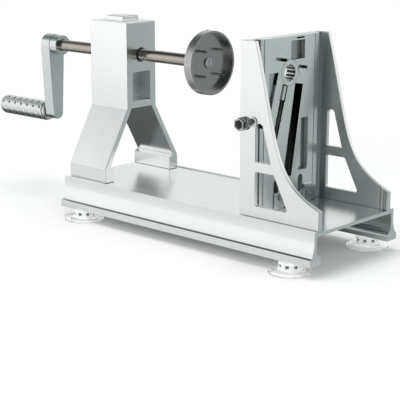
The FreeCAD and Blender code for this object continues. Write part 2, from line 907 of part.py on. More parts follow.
def flange_cut():
    """Space above the flanges' curved edge, right through the frame."""
    y = -frame_width
    head = Vector(frame_back + flange_head, y, frame_top)
    toe = Vector(frame_end, y, deck_top + toe_height)
    head_angle = math.radians(head_lean)
    toe_angle = math.radians(toe_lean)
    head_pole = head + Vector(math.sin(head_angle), 0, -math.cos(head_angle)) * head_pull
    toe_pole = toe + Vector(-math.cos(toe_angle), 0, math.sin(toe_angle)) * toe_pull
    curve = Part.BezierCurve()
    curve.setPoles([head, head_pole, toe_pole, toe])
    past = Vector(frame_end + toe_height, y, deck_top + toe_height)
    corner = Vector(frame_end + toe_height, y, frame_top + toe_height)
    above = Vector(frame_back + flange_head, y, frame_top + toe_height)
    edges = [curve.toShape()]
    for a, b in ((toe, past), (past, corner), (corner, above), (above, head)):
        edges.append(Part.LineSegment(a, b).toShape())
    return Part.Face(Part.Wire(edges)).extrude(Vector(0, 2 * frame_width, 0))


def flange_windows():
    """Two windows through both flanges."""
    y = -frame_width
    front = frame_back + window_front
    mouth = front + upper_window_mouth
    spring = deck_top + upper_window_spring
    sill = deck_top + upper_window_bottom
    crown = Vector((front + mouth) / 2, y, spring + upper_window_mouth / 2)
    start = Vector(front, y, sill)
    steps = [
        (Vector(front, y, spring),),
        (crown, Vector(mouth, y, spring)),
        (Vector(front + upper_window_foot, y, sill),),
    ]
    upper = outline(start, steps).extrude(Vector(0, 2 * frame_width, 0))
    low = deck_top + lower_window_bottom
    high = deck_top + lower_window_top
    lower = polygon([
        Vector(front, y, low),
        Vector(front, y, high),
        Vector(front + lower_window_mouth, y, high),
        Vector(front + lower_window_foot, y, low),
    ]).extrude(Vector(0, 2 * frame_width, 0))
    corners = [edge for edge in lower.Edges if edge.BoundBox.YLength > frame_width]
    lower = lower.makeFillet(window_corner, corners)
    return [upper, lower]


def bead_grooves():
    """Two upright grooves in the inner face of each bead."""
    grooves = []
    for step in (1, 2):
        for side in (-1, 1):
            x = frame_end - bead_length * step / 4
            start = Vector(x, side * (flange_outer - bead_wall), deck_top)
            grooves.append(rod(bead_groove_radius, start, Z, frame_height))
    return grooves


def plate_track():
    """Upright rib with a lip that holds one edge of the cutter plate, on the +Y side."""
    inner = plate_half_width + tongue_width + track_play
    outer = inner + track_wall
    tall = frame_top - deck_top
    rib = block(web_front, plate_front, inner, outer, deck_top, deck_top + tall)
    lip_back = web_front + tongue_wall + track_play
    lip = block(lip_back, plate_front, inner - track_lip, inner, deck_top, deck_top + tall)
    return rib.fuse(lip).removeSplitter()


def cutter_frame():
    """Channel with windows, plate tracks, and the slicing slot behind the plate's own."""
    solid = both_sides(channel_half()).removeSplitter()
    solid = solid.fuse(both_sides(plate_track())).removeSplitter()
    tools = [flange_cut()] + flange_windows() + bead_grooves()
    tools.append(slice_slot(frame_back, plate_front))
    tools.append(rod(hub_radius, Vector(frame_back, 0, shaft_z), X, web_wall))
    for y, z in blade_screw_places():
        start = Vector(frame_back, y, z)
        tools.append(rod(blade_screw_radius + screw_fit, start, X, web_wall))
    insert_hole = rod(
        insert_radius, Vector(clamp_axis_x, -flange_outer, clamp_axis_z), Y, flange_wall,
    )
    notch_half = shoe_height / 2 + shoe_play
    track_outer = plate_half_width + tongue_width + track_play + track_wall
    notch = block(
        web_front, plate_front, -track_outer, -(plate_half_width - track_lip),
        clamp_axis_z - notch_half, clamp_axis_z + notch_half,
    )
    tools += [insert_hole, notch]
    for x, y in frame_screw_places():
        depth = frame_screw_reach + pilot_room
        tools.append(rod(frame_screw_radius + screw_fit, Vector(x, y, deck_top), Z, depth))
    for x, y in toe_screw_places():
        depth = toe_screw_reach + pilot_room
        tools.append(rod(toe_screw_radius + screw_fit, Vector(x, y, deck_top), Z, depth))
    for x, y, z in clip_screw_places():
        start = Vector(frame_back, y, z)
        tools.append(rod(clip_screw_radius + screw_fit, start, X, web_wall))
    return solid.cut(tools)


# Cutter plate

def flat_slot(left, width, low, height, x0, x1):
    """Square cut-out, placed from the shaft's axis."""
    return block(x0, x1, left, left + width, shaft_z + low, shaft_z + low + height)


def leaning_slit(left, width, low, height, x0, x1):
    """Narrow cut-out turned about its own middle."""
    slit = flat_slot(left, width, low, height, x0, x1)
    slit.rotate(slit.CenterOfMass, X, -slit_lean)
    return slit


def slice_slot(x0, x1):
    """Leaning slot that the slices come through."""
    bottom = (slice_bottom_side, shaft_z + slice_bottom_height)
    return tilted_slot(bottom, slice_angle, slice_width, slice_length, x0, x1)


def plate_slits():
    """Narrow cut-outs through the plate alone."""
    x0 = web_front
    x1 = plate_front
    side_slit_bottom = side_window_bottom - side_slit_height
    return [
        flat_slot(top_slit_left, top_slit_width, top_slit_bottom, top_slit_height, x0, x1),
        leaning_slit(left_slit_left, left_slit_width, left_slit_bottom,
                     left_slit_height, x0, x1),
        leaning_slit(right_slit_left, right_slit_width, right_slit_bottom,
                     right_slit_height, x0, x1),
        flat_slot(side_slit_left, side_slit_width, side_slit_bottom, side_slit_height, x0, x1),
    ]


def foot_slot():
    """Upright slot with round ends near the plate's foot, on the +Y side."""
    x0 = web_front
    left = foot_slot_side - foot_slot_radius
    slot = flat_slot(left, 2 * foot_slot_radius, foot_slot_low, foot_slot_length,
                     x0, plate_front)
    for height in (foot_slot_low, foot_slot_low + foot_slot_length):
        centre = Vector(x0, foot_slot_side, shaft_z + height)
        slot = slot.fuse(rod(foot_slot_radius, centre, X, plate_wall))
    return slot.removeSplitter()


def key_pocket():
    """Pocket with one upright and one leaning side."""
    x = web_front
    return polygon([
        Vector(x, key_pocket_left, key_top_z),
        Vector(x, key_pocket_left + key_pocket_width, key_top_z),
        Vector(x, key_pocket_left + key_pocket_toe, key_bottom_z),
        Vector(x, key_pocket_left, key_bottom_z),
    ]).extrude(Vector(plate_wall, 0, 0))


def bolt_point(along):
    """Point on the clamp bolt's axis, measured up from the dowel."""
    y = dowel_side + along * math.sin(bolt_angle)
    z = shaft_z + dowel_height + along * math.cos(bolt_angle)
    return Vector(bolt_x(), y, z)


def bolt_x():
    """The bolt lies on the web, proud of the plate's face."""
    return web_front + bolt_head_radius + seat_gap


def bolt_direction():
    """Unit direction up along the clamp bolt."""
    return Vector(0, math.sin(bolt_angle), math.cos(bolt_angle))


def bolt_channel():
    """Room in the plate for the clamp bolt and its dowel."""
    x0 = web_front
    x1 = plate_front
    head_half = bolt_head_radius + bolt_channel_gap
    shank_half = bolt_radius + bolt_channel_gap
    head_low = bolt_point(bolt_head_start - bolt_channel_gap)
    tail = bolt_point(-bolt_tail - bolt_tail_gap)
    head_length = bolt_head_length + 2 * bolt_channel_gap
    head_room = tilted_slot((head_low.y, head_low.z), bolt_angle, 2 * head_half, head_length, x0, x1)
    shank_length = bolt_tail + bolt_tail_gap + bolt_head_start
    shank_room = tilted_slot((tail.y, tail.z), bolt_angle, 2 * shank_half, shank_length, x0, x1)
    dowel_start = Vector(x0, dowel_side, shaft_z + dowel_height)
    dowel_room = rod(dowel_radius + screw_fit, dowel_start, X, plate_wall)
    return [head_room, shank_room, dowel_room]


def plate_blank():
    """Plate with a thin tongue along both upright edges."""
    body = block(
        web_front + seat_gap, plate_front, -(plate_half_width - track_play),
        plate_half_width - track_play, plate_bottom, frame_top,
    )
    tongue_edge = plate_half_width + tongue_width
    tongues = block(
        web_front + seat_gap, web_front + tongue_wall, -tongue_edge, tongue_edge,
        plate_bottom, frame_top,
    )
    side_cuts = both_sides(block(
        web_front + tongue_wall, plate_front, plate_half_width + tongue_width - track_lip,
        tongue_edge + track_wall, plate_bottom, frame_top,
    ))
    return body.fuse(tongues).cut(side_cuts).removeSplitter()


def cutter_plate():
    """Plate that carries the hub, the slots and the comb clamp."""
    x0 = web_front
    x1 = plate_front
    tools = [slice_slot(frame_back, plate_front)] + plate_slits() + bolt_channel()
    tools.append(flat_slot(sight_window_left, sight_window_width, sight_window_bottom,
                           sight_window_height, x0, x1))
    tools.append(flat_slot(side_window_left, side_window_width, side_window_bottom,
                           side_window_height, x0, x1))
    tools.append(key_pocket())
    tools.append(rod(hub_radius, Vector(x0, 0, shaft_z), X, plate_wall))
    tools.append(both_sides(foot_slot()))
    for y, z in blade_screw_places():
        start = Vector(x0, y, z)
        tools.append(rod(blade_screw_radius + hole_play, start, X, plate_wall / 2))
    for x, y, z in clip_screw_places():
        start = Vector(x0, y, z)
        tools.append(rod(clip_screw_radius + hole_play, start, X, plate_wall))
    return plate_blank().cut(tools)


def hub_disc():
    """Round steel insert with the bore that the potato's core passes through."""
    start = Vector(frame_back, 0, shaft_z)
    length = web_wall + plate_wall
    disc = rod(hub_radius - seat_gap, start, X, length)
    rims = [edge for edge in disc.Edges if edge.BoundBox.XLength < 0.001]
    disc = disc.makeChamfer(edge_break, rims)
    return disc.cut(rod(hub_bore, start, X, length))


def slot_key():
    """Flat steel key that leans in the pocket at the plate's left."""
    angle = math.atan2(key_pocket_width - key_pocket_toe, key_pocket_height)
    length = key_pocket_height / math.cos(angle)
    bar = block(web_front, web_front + key_wall, -key_width, 0, 0, length)
    bar.rotate(Vector(0, 0, 0), X, -math.degrees(angle))
    bar.translate(Vector(0, key_pocket_left + key_pocket_toe - seat_gap, key_bottom_z))
    room = key_pocket()
    inside = block(
        web_front, plate_front, key_pocket_left + seat_gap,
        key_pocket_left + key_pocket_width, key_bottom_z + key_foot_gap, key_top_z - seat_gap,
    )
    return bar.common(room).common(inside)


def clamp_bolt():
    """Cap bolt of the comb clamp, with a long round head."""
    direction = bolt_direction()
    head = rod(bolt_head_radius, bolt_point(bolt_head_start), direction, bolt_head_length)
    shank = rod(bolt_radius, bolt_point(-bolt_tail), direction, bolt_tail + bolt_head_start)
    key_depth = bolt_head_length / 4
    key_start = bolt_point(bolt_head_start + bolt_head_length - key_depth)
    key = rod(bolt_head_radius / 2, key_start, direction, key_depth)
    return head.fuse(shank).removeSplitter().cut(key)


def cross_dowel():
    """Round nut of the comb clamp, lying across the bolt."""
    start = Vector(web_front + seat_gap, dowel_side, shaft_z + dowel_height)
    solid = rod(dowel_radius, start, X, plate_wall - seat_gap)
    length = 4 * dowel_radius
    hole = rod(bolt_radius + screw_fit, bolt_point(-length / 2), bolt_direction(), length)
    return solid.cut(hole)


# Slicing blade

def slice_frame(across, along):
    """Point on the slot: across from its centre line, along from its lower end."""
    y = slice_bottom_side + along * math.sin(slice_angle) + across * math.cos(slice_angle)
    height = slice_bottom_height + along * math.cos(slice_angle) - across * math.sin(slice_angle)
    return (y, shaft_z + height)


def blade_centre_across():
    """Blade's centre line beside the slot's; it covers the slot's right part."""
    return slice_width / 2 - blade_cover + blade_width / 2


def blade_screw_places():
    """One screw past each end of the slot, on the blade's centre line."""
    across = blade_centre_across()
    low = slice_frame(across, -blade_screw_land)
    high = slice_frame(across, slice_length + blade_screw_land)
    return [low, high]


def slicing_blade():
    """Flat blade with a ground edge and a hole at each end."""
    across = blade_centre_across()
    low = slice_frame(across, -blade_screw_land - blade_end)
    length = slice_length + 2 * (blade_screw_land + blade_end)
    half = blade_width / 2
    face = polygon([
        Vector(blade_back, -half, 0),
        Vector(blade_back + blade_wall / 6, -half, 0),
        Vector(blade_front, -half + 2 * blade_bevel, 0),
        Vector(blade_front, half, 0),
        Vector(blade_back, half, 0),
    ])
    blade = face.extrude(Vector(0, 0, length))
    blade.rotate(Vector(0, 0, 0), X, -slice_lean)
    blade.translate(Vector(0, low[0], low[1]))
    holes = [
        rod(blade_screw_radius + hole_play, Vector(blade_back, y, z), X, blade_wall)
        for y, z in blade_screw_places()
    ]
    return blade.cut(holes)


def blade_spacers():
    """Two rings that set the gap between blade and web."""
    rings = []
    for y, z in blade_screw_places():
        start = Vector(blade_front + seat_gap, y, z)
        inner = blade_screw_radius + hole_play
        rings.append(tube(spacer_radius, inner, start, X, blade_gap - 2 * seat_gap))
    return group(rings)


def blade_screws():
    """Two screws through blade and spacers into the web."""
    screws = []
    for y, z in blade_screw_places():
        face = Vector(blade_back, y, z)
        head = rod(blade_screw_head, face, -X, blade_screw_head_height)
        reach = blade_wall + blade_gap + web_wall
        shank = rod(blade_screw_radius, face, X, reach)
        key_depth = blade_screw_head_height / 2
        key_start = face - Vector(blade_screw_head_height, 0, 0)
        key = rod(blade_screw_radius / 2, key_start, X, key_depth)
        screws.append(head.fuse(shank).removeSplitter().cut(key))
    return group(screws)


# Plate clips

def clip_screw_places():
    """One screw through the middle of each clip."""
    x = plate_front + seat_gap + clip_wall
    right = (x, right_clip_left + right_clip_width / 2, deck_top + right_clip_height / 2)
    left = (x, left_clip_left + left_clip_width / 2, deck_top + left_clip_height / 2 + clip_step / 2)
    return [right, left]


def plate_clip(left, width, height, screw_place):
    """Flat clip against the plate's foot, with the hole for its screw."""
    x0 = plate_front + seat_gap
    top = deck_top + height
    solid = block(x0, x0 + clip_wall, left, left + width, deck_top + seat_gap, top)
    centre = Vector(x0, screw_place[1], screw_place[2])
    return solid.cut(rod(clip_screw_radius + hole_play, centre, X, clip_wall))


def plate_clip_left():
    """Left clip, thinner at its foot."""
    x1 = plate_front + seat_gap + clip_wall
    solid = plate_clip(left_clip_left, left_clip_width, left_clip_height, clip_screw_places()[1])
    return solid.cut(block(
        x1 - clip_wall / 2, x1, left_clip_left, left_clip_left + left_clip_width,
        deck_top, deck_top + clip_step,
    ))


def plate_clip_right():
    """Right clip, a plain flat bar."""
    place = clip_screw_places()[0]
    return plate_clip(right_clip_left, right_clip_width, right_clip_height, place)


def clip_screws():
    """Screws through the clips and the plate into the web."""
    screws = []
    for x, y, z in clip_screw_places():
        face = Vector(x + seat_gap, y, z)
        head = rod(clip_screw_head, face, X, clip_screw_head_height)
        reach = 2 * seat_gap + clip_wall + plate_wall + web_wall / 2
        shank = rod(clip_screw_radius, face, -X, reach)
        slot = block(
            face.x + clip_screw_head_height / 2, face.x + clip_screw_head_height,
            y - clip_screw_head, y + clip_screw_head, z - edge_break, z + edge_break,
        )
        screws.append(head.fuse(shank).removeSplitter().cut(slot))
    return group(screws)


# Side clamp

def clamp_insert():
    """Threaded insert pressed into the front flange."""
    outer_face = Vector(clamp_axis_x, -insert_end, clamp_axis_z)
    head = rod(insert_head_radius, outer_face, Y, insert_head_thickness)
    sleeve = rod(
        insert_radius - seat_gap, outer_face, Y, insert_head_thickness + flange_wall,
    )
    bore = rod(
        clamp_screw_radius + running_fit, outer_face, Y, insert_head_thickness + flange_wall,
    )
    return head.fuse(sleeve).removeSplitter().cut(bore)


def clamp_shoe():
    """Shoe that the thumb screw presses against the plate's edge."""
    z0 = clamp_axis_z - shoe_height / 2
    z1 = clamp_axis_z + shoe_height / 2
    front = plate_front + shoe_front
    body_back = clamp_axis_x - clamp_tip_radius - shoe_socket_wall
    nose = block(web_front + slide_gap, front, -shoe_shoulder, -shoe_inner, z0, z1)
    body = block(body_back, front, -shoe_outer, -shoe_shoulder, z0, z1)
    solid = nose.fuse(body).removeSplitter()
    socket = rod(
        clamp_tip_radius + running_fit, Vector(clamp_axis_x, -shoe_outer, clamp_axis_z), Y,
        clamp_tip_length + end_play,
    )
    return solid.cut(socket)


def knob_face(distance):
    """Point on the clamp's axis, out from the front flange."""
    return Vector(clamp_axis_x, -flange_outer - distance, clamp_axis_z)


def thumb_screw():
    """Screw with a round shoulder and a hexagonal head."""
    hex_start = knob_spacer_start + knob_spacer_length + knob_length
    shoulder_start = knob_spacer_start + knob_spacer_length
    shank_end = -shoe_outer - seat_gap
    shank_length = shank_end + flange_outer + shoulder_start
    shank = rod(clamp_screw_radius, knob_face(shoulder_start), Y, shank_length)
    tip_start = Vector(clamp_axis_x, shank_end, clamp_axis_z)
    tip = rod(clamp_tip_radius, tip_start, Y, clamp_tip_length)
    shoulder = rod(knob_radius, knob_face(hex_start), Y, knob_length)
    rims = [edge for edge in shoulder.Edges if edge.BoundBox.YLength < 0.001]
    shoulder = shoulder.makeChamfer(edge_break, rims)
    return shank.fuse([tip, shoulder, hex_head(hex_start)]).removeSplitter()


def hex_head(start):
    """Hexagonal head with a chamfered rim and a shallow recess."""
    corner = hex_across_flats / math.sqrt(3)
    face = knob_face(start)
    points = []
    for step in range(6):
        turn = math.pi * step / 3
        points.append(face + Vector(math.cos(turn), 0, math.sin(turn)) * corner)
    prism = polygon(points).extrude(Vector(0, -hex_length, 0))
    dome = Part.makeCone(
        corner + hex_length / 2, corner - edge_break, hex_length, face, -Y,
    )
    recess_start = knob_face(start + hex_length - 2 * edge_break)
    recess = rod(hex_across_flats / 2 - 2 * edge_break, recess_start, -Y, hex_length)
    return prism.common(dome).cut(recess)


def knob_spacer():
    """Black nylon ring between the knob and the flange."""
    end = knob_spacer_start + knob_spacer_length - seat_gap
    length = knob_spacer_length - seat_gap
    return tube(knob_spacer_radius, clamp_screw_radius + seat_gap, knob_face(end), Y, length)


def build():
    """Make every node and write its STEP file."""
    os.makedirs("parts", exist_ok=True)
    save(base_extrusion(), "base_extrusion")
    cup_names = ["left_front", "left_back", "right_front", "right_back"]
    for (x, y), name in zip(cup_places(), cup_names):
        save(suction_cup(x, y), "suction_cup_" + name)
    save(shaft_stand(), "shaft_stand")
    stand_places = stand_screw_places()
    save(deck_screws(stand_places, stand_screw_radius, 2 * stand_screw_radius, stand_screw_reach),
         "stand_screws")
    save(cutter_frame(), "cutter_frame")
    frame_places = frame_screw_places()
    save(deck_screws(frame_places, frame_screw_radius, 2 * frame_screw_radius, frame_screw_reach),
         "frame_screws")
    toe_places = toe_screw_places()
    save(deck_screws(toe_places, toe_screw_radius, 2 * toe_screw_radius, toe_screw_reach),
         "toe_screws")
    save(cutter_plate(), "cutter_plate")
    save(hub_disc(), "hub_disc")
    save(slicing_blade(), "slicing_blade")
    save(blade_spacers(), "blade_spacers")
    save(blade_screws(), "blade_screws")
    save(clamp_bolt(), "comb_clamp_bolt")
    save(cross_dowel(), "comb_clamp_dowel")
    save(slot_key(), "slot_key")
    save(plate_clip_right(), "plate_clip_right")
    save(plate_clip_left(), "plate_clip_left")
    save(clip_screws(), "clip_screws")
    save(clamp_insert(), "clamp_insert")
    save(button_spring(), "button_spring")
    save(shaft_bush(-1), "left_bush")
    save(shaft_bush(1), "right_bush")
    save(release_button(), "release_button")
    save(brake_shoe(), "brake_shoe")
    save(feed_shaft(), "feed_shaft")
    save(crank_arm(), "crank_arm")
    save(crank_grub_screw(), "crank_grub_screw")
    save(crank_washer(), "crank_washer")
    save(crank_end_screw(), "crank_end_screw")
    save(grip_axle(), "grip_axle")
    save(grip_collar(), "grip_collar")
    save(grip_sleeve(), "grip_sleeve")
    save(grip_end_cap(), "grip_end_cap")
    save(potato_cup(), "potato_cup")
    save(cup_prongs(), "cup_prongs")
    save(cup_screw(), "cup_screw")
    save(clamp_shoe(), "clamp_shoe")
    save(thumb_screw(), "thumb_screw")
    save(knob_spacer(), "knob_spacer")


build()
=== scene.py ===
import math

import bpy
from mathutils import Matrix, Vector


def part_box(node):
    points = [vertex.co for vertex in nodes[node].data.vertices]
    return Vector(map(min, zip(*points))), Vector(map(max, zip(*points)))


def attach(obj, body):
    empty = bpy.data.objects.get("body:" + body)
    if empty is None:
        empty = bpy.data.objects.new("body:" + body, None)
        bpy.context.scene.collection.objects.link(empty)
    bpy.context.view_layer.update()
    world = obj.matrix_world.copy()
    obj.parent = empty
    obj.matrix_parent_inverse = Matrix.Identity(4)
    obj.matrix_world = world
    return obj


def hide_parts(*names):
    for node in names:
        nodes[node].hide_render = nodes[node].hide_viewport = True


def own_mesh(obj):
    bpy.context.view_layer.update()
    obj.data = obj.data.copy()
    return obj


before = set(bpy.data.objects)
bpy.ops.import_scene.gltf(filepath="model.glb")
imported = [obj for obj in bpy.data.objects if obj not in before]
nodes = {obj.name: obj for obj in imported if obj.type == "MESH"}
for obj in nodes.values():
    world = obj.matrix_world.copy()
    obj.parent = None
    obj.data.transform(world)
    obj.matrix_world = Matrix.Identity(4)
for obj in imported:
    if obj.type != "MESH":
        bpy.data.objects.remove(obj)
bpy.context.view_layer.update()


# Studio: white paper floor and background, soft lamps overhead, in front and at the side.
# The metal mirrors a room with pale walls, a dark front right wall and a dark ceiling.
camera_turn = math.radians(42.99)
camera_rise = math.radians(13.87)
camera_place = Vector((0.7816, -0.8677, 0.3205))
camera_lens = 110.1

camera_back = Vector((
    math.sin(camera_turn) * math.cos(camera_rise),
    -math.cos(camera_turn) * math.cos(camera_rise),
    math.sin(camera_rise),
))
camera = bpy.data.objects.new("camera", bpy.data.cameras.new("camera"))
camera.data.sensor_width = 36.0
camera.data.lens = camera_lens
camera.data.clip_start = 0.05
camera.data.clip_end = 20.0
camera.location = camera_place
camera.rotation_mode = "QUATERNION"
camera.rotation_quaternion = (-camera_back).to_track_quat("-Z", "Y")
bpy.context.collection.objects.link(camera)
bpy.context.scene.camera = camera
bpy.context.scene.view_settings.view_transform = "Standard"


def node(tree, kind, wires=None, **settings):
    """New shader node; wires are values or sockets by input name or number."""
    made = tree.nodes.new("ShaderNode" + kind)
    for key, value in settings.items():
        setattr(made, key, value)
    for key, value in (wires or {}).items():
        if isinstance(value, bpy.types.NodeSocket):
            tree.links.new(value, made.inputs[key])
        else:
            made.inputs[key].default_value = value
    return made


def sums(tree, first, operation, second):
    """One arithmetic step between sockets or numbers."""
    made = node(tree, "Math", {0: first, 1: second}, operation=operation)
    return made.outputs[0]


def ramp(tree, value, start, end, low, high):
    """Smooth change from low to high while the value goes from start to end."""
    made = node(tree, "MapRange", {
        "Value": value, "From Min": start, "From Max": end, "To Min": low, "To Max": high,
    }, interpolation_type="SMOOTHSTEP")
    return made.outputs[0]


def unsigned(tree, value):
    """A value without its sign."""
    return sums(tree, value, "ABSOLUTE", 0)


def product(tree, first, *others):
    """Sockets or numbers multiplied together."""
    for other in others:
        first = sums(tree, first, "MULTIPLY", other)
    return first


def dimmed(tree, level, mask):
    """A level brought down by a mask of 0 to 1."""
    return product(tree, level, sums(tree, 1.0, "SUBTRACT", mask))


def four_walls(tree, right, back, walls):
    """Brightness between front left, back left, front right and back right."""
    front_left, back_left, front_right, back_right = walls
    left_side = node(tree, "Mix", {"Factor": back, "A": front_left, "B": back_left})
    right_side = node(tree, "Mix", {"Factor": back, "A": front_right, "B": back_right})
    made = node(tree, "Mix", {
        "Factor": right, "A": left_side.outputs[0], "B": right_side.outputs[0],
    })
    return made.outputs[0]


white = (1, 1, 1, 1)
pale_green = (0.80, 1.0, 0.98, 1)


def tinted(tree, level):
    """Light of the room: white where bright, faintly green where dim."""
    made = node(tree, "Mix", {"Factor": level, "A": pale_green, "B": white}, data_type="RGBA")
    return made.outputs["Result"]


# The walls' brightness; two of them change over a stretch of height, which comes first.
# Directions have length 1, so upward 0.5 is 30 degrees above the floor.
left_to_right, front_to_back = (-0.25, 0.35), (-0.35, 0.35)
front_left_wall = (0.42, 0.51, 1.05, 0.57)
back_right_wall = (0.02, 0.16, 0.65, 0.95)
back_left_wall, front_right_wall = 0.84, 0.10
ceiling_from, ceiling_to, dark_ceiling = 0.54, 0.72, 0.10
least_light, spread_light = 0.05, 0.40
dim_green = (0.80, 0.97, 0.97, 1)
world = bpy.data.worlds.new("studio")
world.use_nodes = True
bpy.context.scene.world = world
tree = world.node_tree
tree.nodes.clear()
rays = node(tree, "LightPath").outputs
aim = node(tree, "TexCoord").outputs["Generated"]
to_right, to_back, upward = node(tree, "SeparateXYZ", {0: aim}).outputs
walls = four_walls(
    tree, ramp(tree, to_right, *left_to_right, 0, 1), ramp(tree, to_back, *front_to_back, 0, 1),
    (ramp(tree, upward, *front_left_wall), back_left_wall, front_right_wall,
     ramp(tree, upward, *back_right_wall)),
)
walls = product(tree, walls, ramp(tree, upward, ceiling_from, ceiling_to, 1.0, dark_ceiling))
direct = sums(tree, rays["Is Camera Ray"], "MAXIMUM", rays["Is Transmission Ray"])
seen = sums(tree, direct, "MAXIMUM", product(tree, rays["Is Glossy Ray"], walls))
dim_level = sums(tree, product(tree, rays["Is Diffuse Ray"], spread_light), "ADD", least_light)
dim = node(tree, "Background", {"Color": dim_green, "Strength": dim_level})
bright = node(tree, "Background", {"Color": tinted(tree, seen), "Strength": 1.0})
both = node(tree, "MixShader", {0: seen, 1: dim.outputs[0], 2: bright.outputs[0]})
node(tree, "OutputWorld", {0: both.outputs[0]})

# The paper takes the lamps' light near the object and is plain white farther out.
floor_reach, floor_drop = 4.0, 5e-5
paper_colour, paper_lift = (0.90, 0.855, 0.85, 1), 0.10
white_from, white_to = 0.22, 0.60
floor_paint = bpy.data.materials.new("floor_paper")
floor_paint.use_nodes = True
tree = floor_paint.node_tree
tree.nodes.clear()
rays = node(tree, "LightPath").outputs
spot = node(tree, "NewGeometry").outputs["Position"]
along, across = node(tree, "SeparateXYZ", {0: spot}).outputs[:2]
paper = node(tree, "BsdfDiffuse", {"Color": paper_colour})
lift = node(tree, "Emission", {"Color": white, "Strength": paper_lift})
near = node(tree, "AddShader", {0: paper.outputs[0], 1: lift.outputs[0]})
away = node(tree, "VectorMath", {0: spot}, operation="LENGTH").outputs["Value"]
fade = ramp(tree, away, white_from, white_to, 0.0, 1.0)
unshaded = node(tree, "Emission", {"Color": white, "Strength": 1.0})
near = node(tree, "MixShader", {0: fade, 1: near.outputs[0], 2: unshaded.outputs[0]})

# The metal mirrors a paper of its own: pale at the front left, dim at the back, dark at
# the front right, and shaded round the crank and under the deck.
paper_left_to_right, paper_front_to_back = (0.08, 0.35), (-0.12, 0.12)
front_left_paper = (-1.3, -0.15, 1.18, 0.77)
back_right_paper = (0.25, 0.65, 0.42, 0.33)
back_left_paper, front_right_paper = 0.36, 0.05
crank_shade, shade_left, shade_right = 0.93, (-0.75, -0.45), (-0.17, -0.14)
shade_front, shade_back = (-0.11, -0.05), (0.12, 0.30)
deck_shade, shade_length, shade_width = 0.90, (0.09, 0.16), (0.02, 0.06)
mirror_glow = 0.92
sweep = four_walls(
    tree, ramp(tree, along, *paper_left_to_right, 0, 1),
    ramp(tree, across, *paper_front_to_back, 0, 1),
    (ramp(tree, across, *front_left_paper), back_left_paper, front_right_paper,
     ramp(tree, along, *back_right_paper)),
)
shaded = product(
    tree, crank_shade, ramp(tree, along, *shade_left, 0, 1), ramp(tree, along, *shade_right, 1, 0),
    ramp(tree, across, *shade_front, 0, 1), ramp(tree, across, *shade_back, 1, 0),
)
under = product(
    tree, ramp(tree, unsigned(tree, along), *shade_length, deck_shade, 0),
    ramp(tree, unsigned(tree, across), *shade_width, 1, 0),
)
sweep = dimmed(tree, dimmed(tree, sweep, shaded), under)
painted_glow = node(tree, "Emission", {"Color": tinted(tree, sweep), "Strength": sweep})
mirrored = node(tree, "MixShader", {0: mirror_glow, 1: paper.outputs[0], 2: painted_glow.outputs[0]})
by_gloss = node(tree, "MixShader", {
    0: rays["Is Glossy Ray"], 1: paper.outputs[0], 2: mirrored.outputs[0],
})
direct = sums(tree, rays["Is Camera Ray"], "MAXIMUM", rays["Is Transmission Ray"])
surface = node(tree, "MixShader", {0: direct, 1: by_gloss.outputs[0], 2: near.outputs[0]})
node(tree, "OutputMaterial", {0: surface.outputs[0]})

floor_corners = (
    (-floor_reach, -floor_reach), (floor_reach, -floor_reach),
    (floor_reach, floor_reach), (-floor_reach, floor_reach),
)
floor_mesh = bpy.data.meshes.new("floor")
floor_mesh.from_pydata([(x, y, -floor_drop) for x, y in floor_corners], [], [(0, 1, 2, 3)])
floor_mesh.materials.append(floor_paint)
floor = bpy.data.objects.new("floor", floor_mesh)
bpy.context.collection.objects.link(floor)


def softbox(name, place, target, width, watts):
    """Square area lamp turned to a target and kept out of the metal's reflections."""
    lamp = bpy.data.lights.new(name, "AREA")
    lamp.size = width
    lamp.energy = watts
    made = bpy.data.objects.new(name, lamp)
    made.location = place
    way = Vector(target) - Vector(place)
    made.rotation_mode = "QUATERNION"
    made.rotation_quaternion = way.to_track_quat("-Z", "Y")
    made.visible_glossy = False
    bpy.context.collection.objects.link(made)


softbox("overhead_lamp", (-0.2, -0.1, 1.5), (0, 0, 0.05), width=1.3, watts=15.5)
softbox("front_lamp", (-0.5, -1.5, 1.3), (0, 0, 0.1), width=0.9, watts=6.0)
softbox("side_lamp", (1.4, 0.6, 0.9), (0, 0, 0.1), width=0.9, watts=5.0)


# Base: one aluminium extrusion with a flat deck, two curved legs and two foot rails,
# satin anodised, sawn to length. The die leaves fine lines along its whole length.
worn_width, worn_metal = 0.0007, (0.95, 0.96, 0.96, 1)
seam_width = 0.0012
mark_depth = 0.00004
# Painted shade, set by how open a surface is to the sky: in hollows, along joints and on faces
# that look up.
closed_at = 0.10
seam_closed_at, seam_open_at = 0.45, 0.80
looks_up_from, looks_up_to = 0.40, 0.72


def surface_point(tree):
    """Place and facing of a point on the surface, each split in X, Y and Z."""
    place = node(tree, "SeparateXYZ", {0: node(tree, "TexCoord").outputs["Object"]})
    facing = node(tree, "SeparateXYZ", {0: node(tree, "NewGeometry").outputs["Normal"]})
    return place.outputs, facing.outputs


def spread(tree, marks, low, high):
    """Marks or clouds of a texture spread out between two values."""
    made = node(tree, "MapRange", {
        "Value": marks, "From Min": 0.3, "From Max": 0.7, "To Min": low, "To Max": high,
    })
    return made.outputs[0]


def tool_marks(tree, place, grain, centre):
    """Fine streaks, grain being their count per metre on each axis, or with a centre
    lathe rings about the shaft's direction."""
    if centre is None:
        streaks = node(tree, "Mapping", {"Vector": place, "Scale": grain})
        return node(tree, "TexNoise", {
            "Vector": streaks.outputs[0], "Scale": 1.0, "Detail": 3.0, "Roughness": 0.6,
        }).outputs["Fac"]
    rings = node(tree, "Mapping", {"Vector": place, "Location": [-c for c in centre]})
    return node(tree, "TexWave", {
        "Vector": rings.outputs[0], "Scale": grain[0], "Distortion": 1.2,
        "Detail": 2.0, "Detail Scale": 2.0,
    }, wave_type="RINGS", rings_direction="X").outputs["Fac"]


